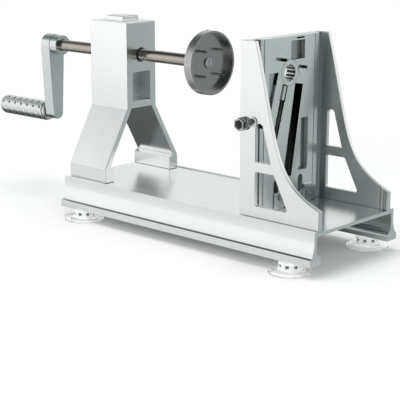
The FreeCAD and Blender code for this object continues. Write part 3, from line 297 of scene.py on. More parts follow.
def painted_shade_factor(tree, hollow, deepest, open_at, seams, between, upper):
    """Painted shade, as a level of 1 where open, down to deepest in hollows narrower than
    hollow and to seams along the joints between parts, where shade falls.

    The hollows count only between the two heights, if given. Upper is the level that
    painted shade leaves on faces that look up."""
    at, way = surface_point(tree)
    open_sky = node(tree, "AmbientOcclusion", {"Distance": hollow}, samples=8).outputs["AO"]
    unshaded = ramp(tree, open_sky, closed_at, open_at, deepest, 1.0)
    if between is not None:
        lowest, highest = between
        unshaded = sums(tree, unshaded, "MAXIMUM", ramp(tree, at[2], highest, highest + 2e-4, 0, 1))
        unshaded = sums(tree, unshaded, "MAXIMUM", ramp(tree, at[2], lowest - 2e-4, lowest, 1, 0))
    joint = node(tree, "AmbientOcclusion", {"Distance": seam_width}, samples=8).outputs["AO"]
    unshaded = product(tree, unshaded, ramp(tree, joint, seam_closed_at, seam_open_at, seams, 1.0))
    if upper is not None:
        unshaded = product(tree, unshaded, ramp(tree, way[2], looks_up_from, looks_up_to, 1.0, upper))
    return unshaded


def metal_finish(name, colour, shade, rough, grain, bump=0.12, wear=0.5, centre=None,
                 metallic=1.0, hollow=0.012, deepest=0.30, open_at=0.46,
                 painted_shade_colour=(0.006, 0.018, 0.017), seams=0.45, between=None, upper=None):
    """Metal with tool marks, clouds between colour and shade, worn bright edges, and painted
    shade that darkens it towards a shade colour in hollows, along joints and on faces that look
    up.

    Rough is its least and its most roughness, and wear how bright its edges are."""
    made = bpy.data.materials.new(name)
    made.use_nodes = True
    tree = made.node_tree
    metal = tree.nodes["Principled BSDF"]
    metal.inputs["Metallic"].default_value = metallic
    place = node(tree, "TexCoord").outputs["Object"]
    marks = tool_marks(tree, place, grain, centre)
    clouds = node(tree, "TexNoise", {"Vector": place, "Scale": 26.0, "Detail": 3.0}).outputs["Fac"]
    spots = node(tree, "TexNoise", {"Vector": place, "Scale": 420.0, "Detail": 2.0}).outputs["Fac"]
    tone = node(tree, "Mix", {"Factor": marks, "A": (*shade, 1), "B": (*colour, 1)},
                data_type="RGBA")
    tone = node(tree, "Mix", {
        "Factor": product(tree, clouds, 0.5), "A": tone.outputs["Result"], "B": (*shade, 1),
    }, data_type="RGBA")
    soft = node(tree, "Bevel", {"Radius": worn_width}, samples=4).outputs[0]
    facing = node(tree, "NewGeometry").outputs["Normal"]
    same = node(tree, "VectorMath", {0: soft, 1: facing}, operation="DOT_PRODUCT").outputs["Value"]
    worn = node(tree, "MapRange", {
        "Value": same, "From Min": 0.995, "From Max": 0.86, "To Min": 0.0, "To Max": wear,
    }).outputs[0]
    bright = node(tree, "Mix", {
        "Factor": worn, "A": tone.outputs["Result"], "B": worn_metal,
    }, data_type="RGBA")
    # Painted shade: the colour goes over to the painted shade colour in hollows and joints and on
    # upward faces.
    skin = node(tree, "Mix", {
        "Factor": painted_shade_factor(tree, hollow, deepest, open_at, seams, between, upper),
        "A": (*painted_shade_colour, 1), "B": bright.outputs["Result"],
    }, data_type="RGBA", name="painted_shade_mix")
    tree.links.new(skin.outputs["Result"], metal.inputs["Base Color"])
    mixed = sums(tree, product(tree, marks, 0.5), "ADD", product(tree, clouds, 0.5))
    polish = sums(tree, spread(tree, mixed, *rough), "ADD", product(tree, worn, 0.08))
    tree.links.new(polish, metal.inputs["Roughness"])
    height = sums(tree, marks, "ADD", product(tree, spots, 0.25))
    dents = node(tree, "Bump", {"Strength": bump, "Distance": mark_depth, "Height": height},
                 name="fine_marks")
    tree.links.new(dents.outputs[0], metal.inputs["Normal"])
    return made


def soften(name, width, weight=100):
    """Breaks a machined part's sharp edges with small rounded bevels."""
    piece = nodes[name]
    weld = piece.modifiers.new("weld", "WELD")
    weld.merge_threshold = 1e-6
    flat = piece.modifiers.new("flat", "DECIMATE")
    flat.decimate_type = "DISSOLVE"
    flat.angle_limit = math.radians(0.5)
    edges = piece.modifiers.new("edges", "BEVEL")
    edges.width = width
    edges.segments = 2
    edges.limit_method = "ANGLE"
    edges.angle_limit = math.radians(20)
    edges.use_clamp_overlap = False
    shade = piece.modifiers.new("shade", "WEIGHTED_NORMAL")
    shade.mode = "FACE_AREA"
    shade.weight = weight
    shade.thresh = 0.01


def dress(material, *names):
    """Gives CAD parts their finish."""
    for name in names:
        slots = nodes[name].data.materials
        slots.clear()
        slots.append(material)


# Painted shade only in its hollows between these two heights, under the deck; none along its
# joints.
drawn_base = metal_finish(
    "drawn_aluminium_base", colour=(0.95, 0.955, 0.955), shade=(0.90, 0.91, 0.91),
    rough=(0.15, 0.25), grain=(5, 1400, 1400), hollow=0.040, deepest=0.50, open_at=0.75,
    between=(0.0175, 0.0372), seams=1.0,
)
tree = drawn_base.node_tree
at, way = surface_point(tree)

# The legs take the light as faces that bow out towards the rails, over these heights.
bow_top, bow_foot, bow_reach = 0.041, 0.014, 0.0023
bow = node(tree, "Bump", {
    "Strength": 1.0, "Distance": 1.0,
    "Height": ramp(tree, at[2], bow_foot, bow_top, bow_reach, 0.0),
})
tree.links.new(bow.outputs[0], tree.nodes["fine_marks"].inputs["Normal"])

# The far leg's lip is matt from the saw on the face that looks over the deck.
lip_foot, lip_side = 0.040, 0.040
sawn_lip = product(
    tree, ramp(tree, at[2], lip_foot, lip_foot + 2e-4, 0, 1),
    ramp(tree, way[1], -0.9, -0.6, 1, 0), ramp(tree, at[1], lip_side, lip_side + 1e-3, 0, 1),
)
tree.links.new(sums(tree, 1.0, "SUBTRACT", sawn_lip),
               tree.nodes["Principled BSDF"].inputs["Metallic"])
soften("base_extrusion", 0.0001, weight=50)
dress(drawn_base, "base_extrusion")


# Suction cups: four clear soft vinyl cups, moulded in one piece with a ribbed neck
# and a stud that is pushed up into the foot rail.
cup_outer = 0.01999
neck_posts = 8
neck_core, neck_reach = 0.0078, 0.0107
neck_foot, neck_limit = 0.0030, 0.0116
gaps_low, gaps_high = 0.0052, 0.0082
gap_level, post_flank = 0.55, 0.30
post_skin = 0.0004


def posts(angle):
    """Outer radius of the neck, with upright posts between open gaps."""
    wave = math.cos(angle * neck_posts)
    rise = min(1.0, max(0.0, (wave + gap_level) / post_flank))
    return neck_core + (neck_reach - neck_core) * rise


cup_profile = [
    (0.0, 0.0024), (0.0070, 0.0022), (0.0130, 0.0014), (0.0172, 0.0004), (0.0184, 0.0),
    (0.0196, 0.0), (cup_outer, 0.0004), (0.0198, 0.0010), (0.0190, 0.0013),
    (0.0180, 0.0012), (0.0150, 0.0018), (0.0122, 0.0028), (0.0114, 0.0033),
    (0.0112, 0.0044), (0.0108, 0.0050), (posts, gaps_low), (posts, gaps_high),
    (0.0107, 0.0084), (0.0110, 0.0089), (0.0108, 0.0097), (0.0100, 0.0101),
    (0.0094, 0.0101), (0.0091, 0.0097),
    (0.0091, 0.0086), (0.0066, 0.0084), (0.0040, 0.0084), (0.0035, 0.0086),
    (0.0035, 0.0102), (0.0032, 0.01055), (0.0022, 0.01055), (0.0022, 0.0158),
    (0.0018, 0.0166), (0.0, 0.0166),
]


def lathe(name, profile, turns, loop=False):
    """Turned mesh about +Z from (radius, height) points; a radius may vary with the angle.

    The profile starts and ends on the axis, or with loop it closes on itself."""
    verts, faces, rings = [], [], []
    for radius, height in profile:
        if radius == 0.0:
            rings.append([len(verts)])
            verts.append((0.0, 0.0, height))
            continue
        rings.append(list(range(len(verts), len(verts) + turns)))
        for step in range(turns):
            angle = 2 * math.pi * step / turns
            reach = radius(angle) if callable(radius) else radius
            verts.append((reach * math.cos(angle), reach * math.sin(angle), height))
    pairs = list(zip(rings, rings[1:]))
    if loop:
        pairs.append((rings[-1], rings[0]))
    for low, high in pairs:
        for step in range(turns):
            after = (step + 1) % turns
            if len(low) == 1:
                faces.append((low[0], high[after], high[step]))
            elif len(high) == 1:
                faces.append((low[step], low[after], high[0]))
            else:
                faces.append((low[step], low[after], high[after], high[step]))
    mesh = bpy.data.meshes.new(name)
    mesh.from_pydata(verts, [], faces)
    mesh.update()
    return mesh


def placed(mesh, name, place, direction=(0, 0, 1)):
    """Turns a mesh's +Z to a direction, moves it and makes an object of it."""
    turn = Vector((0, 0, 1)).rotation_difference(Vector(direction)).to_matrix().to_4x4()
    mesh.transform(Matrix.Translation(Vector(place)) @ turn)
    made = bpy.data.objects.new(name, mesh)
    bpy.context.collection.objects.link(made)
    return made


def smooth(mesh, angle):
    """Smooth shading with crisp edges above an angle."""
    mesh.shade_smooth()
    mesh.set_sharp_from_angle(angle=math.radians(angle))


def clear_vinyl(name, colour, clearness, smoothest, roughest, painted_glow=0.0):
    """Clear soft vinyl with faint flow marks; its glow is painted light: emission that brightens
    it though it is no lamp.
    """
    made = bpy.data.materials.new(name)
    made.use_nodes = True
    tree = made.node_tree
    skin = tree.nodes["Principled BSDF"]
    skin.inputs["Base Color"].default_value = (*colour, 1)
    skin.inputs["IOR"].default_value = 1.45
    skin.inputs["Transmission Weight"].default_value = clearness
    skin.inputs["Emission Color"].default_value = (*colour, 1)
    skin.inputs["Emission Strength"].default_value = painted_glow
    place = node(tree, "TexCoord").outputs["Object"]
    flow = node(tree, "TexNoise", {"Vector": place, "Scale": 160.0, "Detail": 3.0}).outputs["Fac"]
    tree.links.new(spread(tree, flow, smoothest, roughest), skin.inputs["Roughness"])
    dents = node(tree, "Bump", {"Strength": 0.25, "Distance": 0.0001, "Height": flow})
    tree.links.new(dents.outputs[0], skin.inputs["Normal"])
    return made


vinyl = clear_vinyl(
    "clear_vinyl", (0.965, 0.98, 0.98), clearness=0.93, smoothest=0.05, roughest=0.14, painted_glow=0.06,
)
# The neck is lightened by a painted glow.
milky = clear_vinyl(
    "milky_vinyl_neck", (0.97, 0.97, 0.97), clearness=0.25, smoothest=0.12, roughest=0.25,
    painted_glow=0.22,
)
# The gaps between the neck's posts are darkened by painted shade.
gap_vinyl = clear_vinyl(
    "shaded_vinyl_gaps", (0.20, 0.21, 0.21), clearness=0.30, smoothest=0.12, roughest=0.25,
)
for side in ("left_front", "left_back", "right_front", "right_back"):
    name = "suction_cup_" + side
    lo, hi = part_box(name)
    mesh = lathe(name, cup_profile, 160)
    smooth(mesh, 50)
    for material in (vinyl, milky, gap_vinyl):
        mesh.materials.append(material)
    for face in mesh.polygons:
        away = math.hypot(face.center.x, face.center.y)
        if face.center.z > neck_foot and away < neck_limit:
            face.material_index = 1
        if gaps_low < face.center.z < gaps_high and away < neck_reach - post_skin:
            face.material_index = 2
    cup = placed(mesh, "vinyl_cup_" + side, ((lo[0] + hi[0]) / 2, (lo[1] + hi[1]) / 2, 0))
    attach(cup, "root")
    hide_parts(name)


# Shaft stand: extruded aluminium sawn off the bar, so the die lines run across its
# side faces. Its feet stand on the deck, held by four screws from below.
soften("shaft_stand", 0.0003)
# Dark green painted shade in its hollows between the two heights, the light well among them, and
# strong painted shade along its joints.
drawn_stand = metal_finish(
    "drawn_aluminium_stand", colour=(0.95, 0.955, 0.955), shade=(0.90, 0.91, 0.91),
    rough=(0.17, 0.27), grain=(5, 1300, 1300), hollow=0.030, deepest=0.26, open_at=0.75,
    between=(0.112, 0.155), painted_shade_colour=(0.030, 0.085, 0.080), seams=0.15,
)
dress(drawn_stand, "shaft_stand")
zinc = metal_finish(
    "zinc_plated_screws", colour=(0.72, 0.73, 0.74), shade=(0.58, 0.59, 0.61),
    rough=(0.22, 0.38), grain=(300, 300, 300),
)
soften("stand_screws", 0.0002)
dress(zinc, "stand_screws")


# Bushes: two black nylon flange bushes pressed on the shaft's bore; they turn in the
# stand and the shaft slides in them.
def black_nylon():
    """Matt black nylon with a fine moulded grain."""
    made = bpy.data.materials.new("black_nylon")
    made.use_nodes = True
    tree = made.node_tree
    skin = tree.nodes["Principled BSDF"]
    place = node(tree, "TexCoord").outputs["Object"]
    grain = node(tree, "TexNoise", {"Vector": place, "Scale": 900.0, "Detail": 2.0}).outputs["Fac"]
    haze = node(tree, "TexNoise", {"Vector": place, "Scale": 70.0, "Detail": 3.0}).outputs["Fac"]
    tone = node(tree, "Mix", {
        "Factor": haze, "A": (0.018, 0.019, 0.021, 1), "B": (0.045, 0.046, 0.048, 1),
    }, data_type="RGBA")
    tree.links.new(tone.outputs["Result"], skin.inputs["Base Color"])
    tree.links.new(spread(tree, haze, 0.36, 0.55), skin.inputs["Roughness"])
    dents = node(tree, "Bump", {"Strength": 0.3, "Distance": 0.00005, "Height": grain})
    tree.links.new(dents.outputs[0], skin.inputs["Normal"])
    return made


nylon = black_nylon()
for name in ("left_bush", "right_bush"):
    soften(name, 0.0002)
    dress(nylon, name)


# Release button: milled aluminium block in the column's pocket, on a leaf spring,
# with a nylon shoe that presses up against the shaft.
milled = metal_finish(
    "milled_aluminium", colour=(0.97, 0.975, 0.975), shade=(0.93, 0.94, 0.94),
    rough=(0.20, 0.30), grain=(700, 700, 700),
)
soften("release_button", 0.0004)
dress(milled, "release_button")
dress(nylon, "brake_shoe")
bright_blade = metal_finish(
    "blade_steel", colour=(0.76, 0.77, 0.78), shade=(0.62, 0.64, 0.65), rough=(0.14, 0.28),
    grain=(900, 900, 40),
)
spring_leaf = 0.0005
spring_low, spring_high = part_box("button_spring")
spring_middle = (spring_low[0] + spring_high[0]) / 2
spring_half = (spring_high[0] - spring_low[0]) / 2
spring_rise = spring_high[2] - spring_low[2]


def arch(half, rise, steps=24):
    """Points along an arc over a span of twice half."""
    radius = (half * half + rise * rise) / (2 * rise)
    reach = math.asin(half / radius)
    turns = [reach * (2 * i / steps - 1) for i in range(steps + 1)]
    return [(radius * math.sin(t), radius * math.cos(t) - radius + rise) for t in turns]


def arched_leaf(name, upper_side, under_side):
    """Closed leaf between two arcs of as many points, as wide as the spring's own box."""
    verts = [
        (spring_middle + x, y, spring_low[2] + z)
        for y in (spring_low[1], spring_high[1]) for x, z in upper_side + under_side
    ]
    count = len(upper_side)
    faces = []
    for i in range(count - 1):
        for first, second in ((i, i + 1), (i + 1 + count, i + count)):
            faces.append((first, second, second + 2 * count, first + 2 * count))
        faces.append((i, i + count, i + 1 + count, i + 1))
        faces.append(tuple(corner + 2 * count for corner in (i + 1, i + 1 + count, i + count, i)))
    faces.append((0, 2 * count, 3 * count, count))
    faces.append((count - 1, 2 * count - 1, 4 * count - 1, 3 * count - 1))
    mesh = bpy.data.meshes.new(name)
    mesh.from_pydata(verts, [], faces)
    mesh.update()
    return mesh


mesh = arched_leaf(
    "arched_leaf_spring", arch(spring_half, spring_rise),
    arch(spring_half - 2 * spring_leaf, spring_rise - spring_leaf),
)
smooth(mesh, 30)
mesh.materials.append(bright_blade)
spring = bpy.data.objects.new("arched_leaf_spring", mesh)
bpy.context.collection.objects.link(spring)
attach(spring, "root")
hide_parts("button_spring")
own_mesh(spring)


# Feed shaft: bright ground steel bar with fine lines round it from the grinder. It slides
# in the bushes, with the crank on one end and the potato cup on the other.
# Painted shade darkens the shaft's faces that look up.
ground = metal_finish(
    "ground_steel_shaft", colour=(0.62, 0.565, 0.515), shade=(0.40, 0.36, 0.325),
    rough=(0.12, 0.24), grain=(2600, 3, 3), wear=0.3, hollow=0.003, upper=0.50,
)
soften("feed_shaft", 0.0003)
dress(ground, "feed_shaft")


# Crank: polished aluminium arm with a boss that a grub screw locks on the shaft, an end
# screw with its washer, and the axle of the grip.
# Painted shade darkens the arm's faces that look up and its hollows.
polished = metal_finish(
    "polished_aluminium_arm", colour=(0.81, 0.835, 0.835), shade=(0.74, 0.765, 0.77),
    rough=(0.13, 0.24), grain=(900, 900, 12), hollow=0.010, deepest=0.25, open_at=0.70,
    upper=0.60,
)
soften("crank_arm", 0.0002)
dress(polished, "crank_arm", "grip_axle")
for name in ("crank_grub_screw", "crank_washer", "crank_end_screw"):
    soften(name, 0.0002)
    dress(zinc, name)


# Grip: chrome plated sleeve with rings of round dents, turning on its axle between a
# collar and an end cap.
grip_radius, grip_bore = 0.0105, 0.0087
grip_start, grip_end = -0.3285, -0.2585
grip_height = 0.091
grip_length = grip_end - grip_start
grip_end_round = 0.0012
dent_pitch = 0.0105
dent_radius, dent_depth = 0.0019, 0.0006
dents_round = 5
dent_phase = 1 / 3
dent_oval = 0.8
dent_edge, dent_slope, dent_rim = 1.4, 1.8, 0.03


def dent_rings():
    """Places of the rings of dents along the grip, each shifted half a dent from the next."""
    rings = []
    for ring in range(-6, 7):
        at = grip_length / 2 + ring * dent_pitch / 2
        if dent_radius * dent_edge < at < grip_length - dent_radius * dent_edge:
            rings.append((at, dent_phase + 0.5 * (ring % 2)))
    return rings


def dent_dip(along, angle, rings):
    """How deep the dents press the sleeve in at a point."""
    dip = 0.0
    for at, shift in rings:
        if abs(along - at) > dent_radius * dent_edge:
            continue
        turn = (angle * dents_round / (2 * math.pi) - shift + 0.5) % 1.0 - 0.5
        across = turn * 2 * math.pi / dents_round * grip_radius
        away = math.hypot(along - at, across * dent_oval) / dent_radius
        if away < dent_edge:
            dip = max(dip, dent_depth * (math.exp(-dent_slope * away * away) - dent_rim))
    return max(0.0, dip)


def grip_tube(along_steps=168, round_steps=128):
    """Tube with rounded ends and staggered rings of round dents pressed into it."""
    rings = dent_rings()
    angles = [2 * math.pi * j / round_steps for j in range(round_steps)]
    verts, faces = [], []
    for i in range(along_steps + 1):
        along = grip_length * i / along_steps
        near_end = min(along, grip_length - along)
        fall = max(0.0, 1 - near_end / grip_end_round)
        edge = grip_end_round * 0.6 * (1 - math.sqrt(max(0.0, 1 - fall * fall)))
        for angle in angles:
            radius = grip_radius - edge - dent_dip(along, angle, rings)
            verts.append((radius * math.cos(angle), radius * math.sin(angle), along))
    bore = len(verts)
    for along in (0.0, grip_length):
        for angle in angles:
            verts.append((grip_bore * math.cos(angle), grip_bore * math.sin(angle), along))
    top, bore_top = along_steps * round_steps, bore + round_steps
    for i in range(along_steps):
        low, high = i * round_steps, (i + 1) * round_steps
        for j in range(round_steps):
            after = (j + 1) % round_steps
            faces.append((low + j, low + after, high + after, high + j))
    for j in range(round_steps):
        after = (j + 1) % round_steps
        faces.append((bore + j, bore + after, after, j))
        faces.append((top + j, top + after, bore_top + after, bore_top + j))
        faces.append((bore_top + j, bore_top + after, bore + after, bore + j))
    mesh = bpy.data.meshes.new("grip_tube")
    mesh.from_pydata(verts, [], faces)
    mesh.update()
    return mesh


chrome = metal_finish(
    "satin_chrome", colour=(0.92, 0.92, 0.92), shade=(0.80, 0.80, 0.805), rough=(0.24, 0.38),
    grain=(1500, 500, 500), bump=0.5, wear=0.2, hollow=0.002, deepest=0.3,
)
# The dents of the main rings get painted shade, and those of the rings between get a painted
# highlight.
dark_dents_painted_shade = metal_finish(
    "dents_in_painted_shade", colour=(0.34, 0.34, 0.34), shade=(0.22, 0.22, 0.225), rough=(0.30, 0.45),
    grain=(900, 900, 900),
)
dents_in_painted_highlight = metal_finish(
    "dents_in_painted_highlight", colour=(0.97, 0.97, 0.97), shade=(0.92, 0.92, 0.92), rough=(0.16, 0.26),
    grain=(900, 900, 900),
)
mesh = grip_tube()
smooth(mesh, 50)
for material in (chrome, dark_dents_painted_shade, dents_in_painted_highlight):
    mesh.materials.append(material)
for face in mesh.polygons:
    away = math.hypot(face.center.x, face.center.y)
    inside = 2 * grip_end_round < face.center.z < grip_length - 2 * grip_end_round
    if inside and grip_radius - dent_depth < away < grip_radius - 0.35 * dent_depth:
        step = (face.center.z - grip_length / 2) / dent_pitch
        face.material_index = 1 if abs(step - round(step)) < 0.25 else 2
grip = placed(mesh, "dented_grip_tube", (grip_start, 0, grip_height), (1, 0, 0))
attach(grip, "grip")
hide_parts("grip_sleeve")
for name, width in (("grip_collar", 0.0001), ("grip_end_cap", 0.0003)):
    soften(name, width)
    dress(chrome, name)


# Potato cup: turned steel dish on the shaft's end, held by a screw, with four pointed
# prongs that grip the potato.
shaft_height = 0.166
turned = metal_finish(
    "turned_steel_cup", colour=(0.56, 0.54, 0.54), shade=(0.43, 0.415, 0.415),
    rough=(0.16, 0.28), grain=(260, 0, 0), centre=(0, 0, shaft_height),
)
soften("potato_cup", 0.0001)
dress(turned, "potato_cup")
dress(bright_blade, "cup_prongs")
soften("cup_screw", 0.0002)
dress(zinc, "cup_screw")


# Cutter frame: upright aluminium channel, die lines running up it, with its flanges sawn
# to a curve and windowed, and two tracks that hold the plate.
channel_half, channel_dimming = 0.0503, 0.40
# Where painted shade blackens the cut-outs' walls, and where painted light lifts it again.
web_front = 0.0800
cuts_half, cuts_top = 0.0340, 0.1985
left_pocket, pocket_lit_from, pocket_lit_to = -0.0200, 0.126, 0.160
right_window, slot_middle, slot_reach = 0.0145, 0.145, 0.020
pocket_light, window_light = 0.75, 0.85
upright_darkness = 0.55
square_from, square_to = 0.60, 0.92
painted_cut_shade = (0.012, 0.017, 0.016, 1)


def paint_channel_shade(material):
    """Painted shade: dims the faces that look across the channel, in its front half."""
    tree = material.node_tree
    at, way = surface_point(tree)
    within = product(
        tree, ramp(tree, unsigned(tree, at[1]), channel_half, channel_half + 1e-4, 1, 0),
        ramp(tree, unsigned(tree, way[1]), 0.3, 0.6, 0, 1 - channel_dimming),
        ramp(tree, at[1], -0.001, 0.001, 1, 0),
    )
    unshaded = tree.nodes["painted_shade_mix"].inputs["Factor"]
    tree.links.new(dimmed(tree, unshaded.links[0].from_socket, within), unshaded)


def cut_wall_light(tree, at):
    """Painted light on the cut-outs' walls, which takes back part of their painted shade: on the
    left pocket's, more of it higher up, and on the walls right of the slots, except beside the
    top of the leaning slot."""
    left = product(
        tree, ramp(tree, at[1], left_pocket, left_pocket + 5e-4, 1, 0),
        ramp(tree, at[2], pocket_lit_from, pocket_lit_to, 0.0, pocket_light),
    )
    off_slot = unsigned(tree, sums(tree, at[2], "SUBTRACT", slot_middle))
    right = product(
        tree, ramp(tree, at[1], right_window, right_window + 5e-4, 0, window_light),
        ramp(tree, off_slot, slot_reach, slot_reach + 0.002, 0, 1),
    )
    return sums(tree, left, "MAXIMUM", right)


def paint_cut_wall_shade(material, front, behind=0.0):
    """Painted shade: blackens the walls of the cut-outs behind a front, leaning and level ones
    most.

    Behind is how far painted shade darkens the face that is seen through the cut-outs."""
    tree = material.node_tree
    at, way = surface_point(tree)
    inside = product(
        tree, ramp(tree, unsigned(tree, at[1]), cuts_half, cuts_half + 1e-4, 1, 0),
        ramp(tree, at[2], cuts_top, cuts_top + 1e-4, 1, 0),
        ramp(tree, at[0], front, front + 1e-4, 1, 0),
    )
    across = ramp(tree, unsigned(tree, way[0]), square_from, square_to, 1, 0)
    leaning = ramp(tree, unsigned(tree, way[2]), 0.06, 0.14, upright_darkness, 1.0)
    lit = cut_wall_light(tree, at)
    darkness = product(tree, inside, across, dimmed(tree, leaning, lit))
    if behind:
        faced = product(tree, inside, ramp(tree, way[0], square_from, square_to, 0, 1))
        darkness = sums(tree, darkness, "ADD", product(tree, faced, behind))
        unshaded = tree.nodes["painted_shade_mix"].inputs["Factor"]
        tree.links.new(sums(tree, unshaded.links[0].from_socket, "MAXIMUM", faced), unshaded)
    skin = node(tree, "Mix", {
        "Factor": darkness, "A": tree.nodes["painted_shade_mix"].outputs["Result"], "B": painted_cut_shade,
    }, data_type="RGBA")
    tree.links.new(skin.outputs["Result"], tree.nodes["Principled BSDF"].inputs["Base Color"])


# Mild dark green painted shade in the frame's hollows, out to a wide reach.
drawn_frame = metal_finish(
    "drawn_aluminium_frame", colour=(0.97, 0.975, 0.975), shade=(0.93, 0.94, 0.94),
    rough=(0.26, 0.36), grain=(1400, 1400, 5), hollow=0.055, deepest=0.78, open_at=0.95,
    painted_shade_colour=(0.030, 0.060, 0.056),
)
paint_channel_shade(drawn_frame)
paint_cut_wall_shade(drawn_frame, web_front + 0.0002, behind=0.45)
soften("cutter_frame", 0.0004)
dress(drawn_frame, "cutter_frame")
for name in ("frame_screws", "toe_screws"):
    soften(name, 0.0002)
    dress(zinc, name)


# Cutter plate: milled aluminium plate slid into the tracks, its slots and windows cut
# through; two screwed clips hold its foot, and the blade behind it stands on spacers.
plate_front = 0.0850
# Strong painted shade in its narrow hollows.
plate_face = metal_finish(
    "milled_aluminium_plate", colour=(0.92, 0.945, 0.94), shade=(0.88, 0.91, 0.905),
    rough=(0.26, 0.32), grain=(500, 500, 60), bump=0.03, metallic=0.75, hollow=0.006,
    deepest=0.05,
)
paint_cut_wall_shade(plate_face, plate_front + 0.001)
soften("cutter_plate", 0.0003)
dress(plate_face, "cutter_plate")
for name in ("plate_clip_left", "plate_clip_right"):
    soften(name, 0.0003)
    dress(milled, name)
for name in ("clip_screws", "blade_screws", "blade_spacers"):
    soften(name, 0.0002)
    dress(zinc, name)
dress(bright_blade, "slicing_blade", "slot_key")


# Hub disc: round insert of milled metal pressed through plate and web, its bore broached
# with grooves along it that steady the potato's core.
hub_back = 0.0745
hub_length = plate_front - hub_back
hub_outer, hub_bore = 0.01218, 0.0068
hub_edge = 0.0003
grooves, groove_depth = 12, 0.0009
groove_width, groove_round = 0.35, 0.6


def broached(angle):
    """Bore radius with round grooves."""
    wave = math.cos(angle * grooves)
    share = max(0.0, (wave + groove_width) / (1 + groove_width)) ** groove_round
    return hub_bore + groove_depth * share


def bevelled(angle):
    """Bore radius where the grooves open out at the disc's faces."""
    return broached(angle) + hub_edge


hub_ring = hub_bore + groove_depth + 2 * hub_edge
hub_profile = [
    (hub_outer - hub_edge, 0.0), (hub_outer, hub_edge), (hub_outer, hub_length - hub_edge),
    (hub_outer - hub_edge, hub_length), (hub_ring, hub_length), (bevelled, hub_length),
    (broached, hub_length - hub_edge), (broached, hub_length / 2), (broached, hub_edge),
    (bevelled, 0.0), (hub_ring, 0.0),
]
mesh = lathe("grooved_hub", hub_profile, 240, loop=True)
smooth(mesh, 40)
ridges = metal_finish(
    "broached_ridges", colour=(0.95, 0.95, 0.95), shade=(0.90, 0.90, 0.90), rough=(0.30, 0.45),
    grain=(500, 500, 60), metallic=0.3, hollow=0.001,
)
# The grooves in the bore are darkened by painted shade.
painted_shade_grooves = metal_finish(
    "painted_shade_grooves", colour=(0.05, 0.052, 0.052), shade=(0.03, 0.032, 0.032), rough=(0.35, 0.5),
    grain=(500, 500, 60),
)
for material in (plate_face, ridges, painted_shade_grooves):
    mesh.materials.append(material)
for face in mesh.polygons:
    away = math.hypot(face.center.x, face.center.y)
    if abs(face.normal.z) < 0.5 and away < hub_bore + groove_depth + hub_edge:
        face.material_index = 2 if away > hub_bore + 0.2 * groove_depth else 1
hub = placed(mesh, "grooved_hub", (hub_back, 0, shaft_height), (1, 0, 0))
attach(hub, "root")
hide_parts("hub_disc")


# Comb clamp: a long cap bolt with a cross dowel in the plate, which holds the fine-cut
# combs. Its turned head is bright and its threaded shank is dark.
bolt_lean = math.radians(16.0)
dowel_place = Vector((0.08307, -0.0155, shaft_height - 0.0418))
bolt_way = Vector((0, math.sin(bolt_lean), math.cos(bolt_lean)))
bolt_tail, bolt_head_start, bolt_head_length = 0.0220, 0.0183, 0.0134
bolt_radius, bolt_head_radius = 0.0023, 0.00305
bolt_thread_pitch, bolt_thread_depth = 0.0007, 0.00018
bolt_thread_start, bolt_thread_length = 0.0006, 0.0310
bolt_key_flats = 0.0028


def threaded(radius, depth, pitch, start, length, steps=6):
    """Profile points of a rolled thread along a rod."""
    points = []
    turns = int(length / pitch)
    for turn in range(turns):
        for step in range(steps):
            at = start + (turn + step / steps) * pitch
            dip = depth * (0.5 - 0.5 * math.cos(2 * math.pi * step / steps))
            points.append((radius - dip, at))
    points.append((radius, start + length))
    return points


def hexagon(across_flats, corner=1.0):
    """Radius of a hexagon by angle, its corners cut back to a circle."""
    half = across_flats / 2
    most = half / math.cos(math.pi / 6) * corner

    def radius(angle):
        away = (angle + math.pi / 6) % (math.pi / 3) - math.pi / 6
        return min(most, half / math.cos(away))
    return radius


shank_end = bolt_tail + bolt_head_start
plain_shank = bolt_radius * 0.94
shank = [(0.0, 0.0), (bolt_radius * 0.7, 0.0), (bolt_radius, 0.0005)]
shank += threaded(
    bolt_radius, bolt_thread_depth, bolt_thread_pitch, bolt_thread_start, bolt_thread_length,
)
shank += [(plain_shank, 0.0318), (plain_shank, shank_end), (0.0, shank_end)]
bolt_key = hexagon(bolt_key_flats)
head = [
    (0.0, 0.0), (bolt_head_radius - 0.0003, 0.0), (bolt_head_radius, 0.0003),
    (bolt_head_radius, bolt_head_length - 0.0004), (bolt_head_radius - 0.0004, bolt_head_length),
    (0.0017, bolt_head_length), (bolt_key, bolt_head_length - 0.0002),
    (bolt_key, bolt_head_length * 0.76), (0.0, bolt_head_length * 0.74),
]
dark_steel = metal_finish(
    "dark_steel_and_painted_socket_shade", colour=(0.060, 0.056, 0.054), shade=(0.030, 0.029, 0.028),
    rough=(0.22, 0.36), grain=(900, 900, 900), wear=0.15,
)
bright_head_and_painted_rim = metal_finish(
    "turned_head_and_painted_rim", colour=(0.95, 0.95, 0.94), shade=(0.88, 0.88, 0.87), rough=(0.22, 0.32),
    grain=(60, 60, 200), bump=0.04, hollow=0.001, deepest=0.8,
)
for name, profile, start, material in (
    ("clamp_bolt_shank", shank, -bolt_tail, dark_steel),
    ("clamp_bolt_head", head, bolt_head_start, bright_head_and_painted_rim),
):
    mesh = lathe(name, profile, 48)
    smooth(mesh, 40)
    mesh.materials.append(material)
    piece = placed(mesh, name, dowel_place + bolt_way * start, bolt_way)
    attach(piece, "root")
    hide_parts("comb_clamp_bolt")
soften("comb_clamp_dowel", 0.0001)
dress(dark_steel, "comb_clamp_dowel")
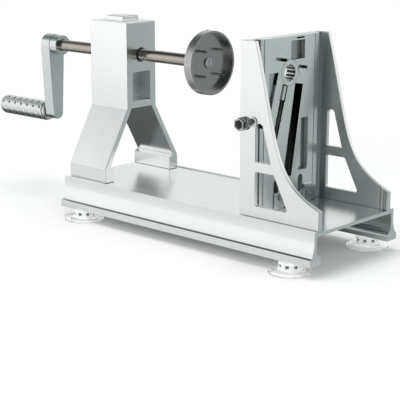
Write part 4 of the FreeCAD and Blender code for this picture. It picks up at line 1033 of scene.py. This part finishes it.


# Side clamp: hexagon socket thumb screw, black plated and worn bright at its edges, in an
# insert in the front flange. Its bright edges are also a painted highlight, as is its bright
# end rim, and the inside of its socket is darkened by painted shade. A nylon spacer sits on
# its neck, and its tip pushes a nylon shoe on the plate's edge.
soften("clamp_insert", 0.0002)
dress(zinc, "clamp_insert")
dress(nylon, "clamp_shoe", "knob_spacer")
clamp_x, clamp_z = 0.0878, 0.1282
knob_end, knob_tip = -0.0742, -0.04272
knob_length = knob_tip - knob_end
tip_radius, screw_radius = 0.0018, 0.0025
screw_pitch, screw_depth = 0.0008, 0.0004
screw_start, screw_length = 0.0044, 0.0152
knurl_radius, knurl_depth, knurls = 0.0060, 0.0005, 40
hex_flats, socket_flats, socket_depth = 0.0106, 0.0080, 0.0032


def knurled(depth):
    """Radius of the knob's round part with fine straight knurling."""
    return lambda angle: knurl_radius - depth * (0.5 - 0.5 * math.cos(angle * knurls))


knob = [(0.0, 0.0), (0.0014, 0.0), (tip_radius, 0.0004), (tip_radius, 0.0039), (0.0024, 0.0042)]
knob += threaded(screw_radius, screw_depth, screw_pitch, screw_start, screw_length)
knob += [
    (screw_radius, 0.0200), (0.0056, 0.0202), (knurled(knurl_depth / 5), 0.0208),
    (knurled(knurl_depth), 0.0212), (knurled(knurl_depth), 0.0262),
    (knurled(knurl_depth / 5), 0.0264), (0.0054, 0.02688),
    (hexagon(hex_flats * 0.94), 0.02690), (hexagon(hex_flats), 0.0274),
    (hexagon(hex_flats), 0.0308), (hexagon(hex_flats, 0.95), 0.0312),
    (0.0050, knob_length), (0.0046, knob_length),
    (hexagon(socket_flats), knob_length - 0.0002),
    (hexagon(socket_flats), knob_length - socket_depth), (0.0, knob_length - 0.0036),
]
knob_plating = metal_finish(
    "black_plated_knob", colour=(0.20, 0.20, 0.20), shade=(0.10, 0.10, 0.103),
    rough=(0.14, 0.24), grain=(600, 90, 600), wear=1.0, hollow=0.004, deepest=0.08, open_at=0.6,
)
mesh = lathe("hexagon_thumb_screw", knob, 240)
smooth(mesh, 35)
for material in (knob_plating, bright_head_and_painted_rim, dark_steel):
    mesh.materials.append(material)
# The end rim gets a painted highlight, and the inside of the socket gets painted shade.
for face in mesh.polygons:
    beyond_socket = math.hypot(face.center.x, face.center.y) > socket_flats / 2
    if beyond_socket and face.center.z > knob_length - 0.0001:
        face.material_index = 1
    elif not beyond_socket and face.center.z > knob_length - 0.0037:
        face.material_index = 2
thumb = placed(mesh, "hexagon_thumb_screw", (clamp_x, knob_tip, clamp_z), (0, -1, 0))
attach(thumb, "thumb")
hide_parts("thumb_screw")

# The bright frame beside the black knob shows no reflection of it.
thumb.visible_glossy = False
nodes["knob_spacer"].visible_glossy = False
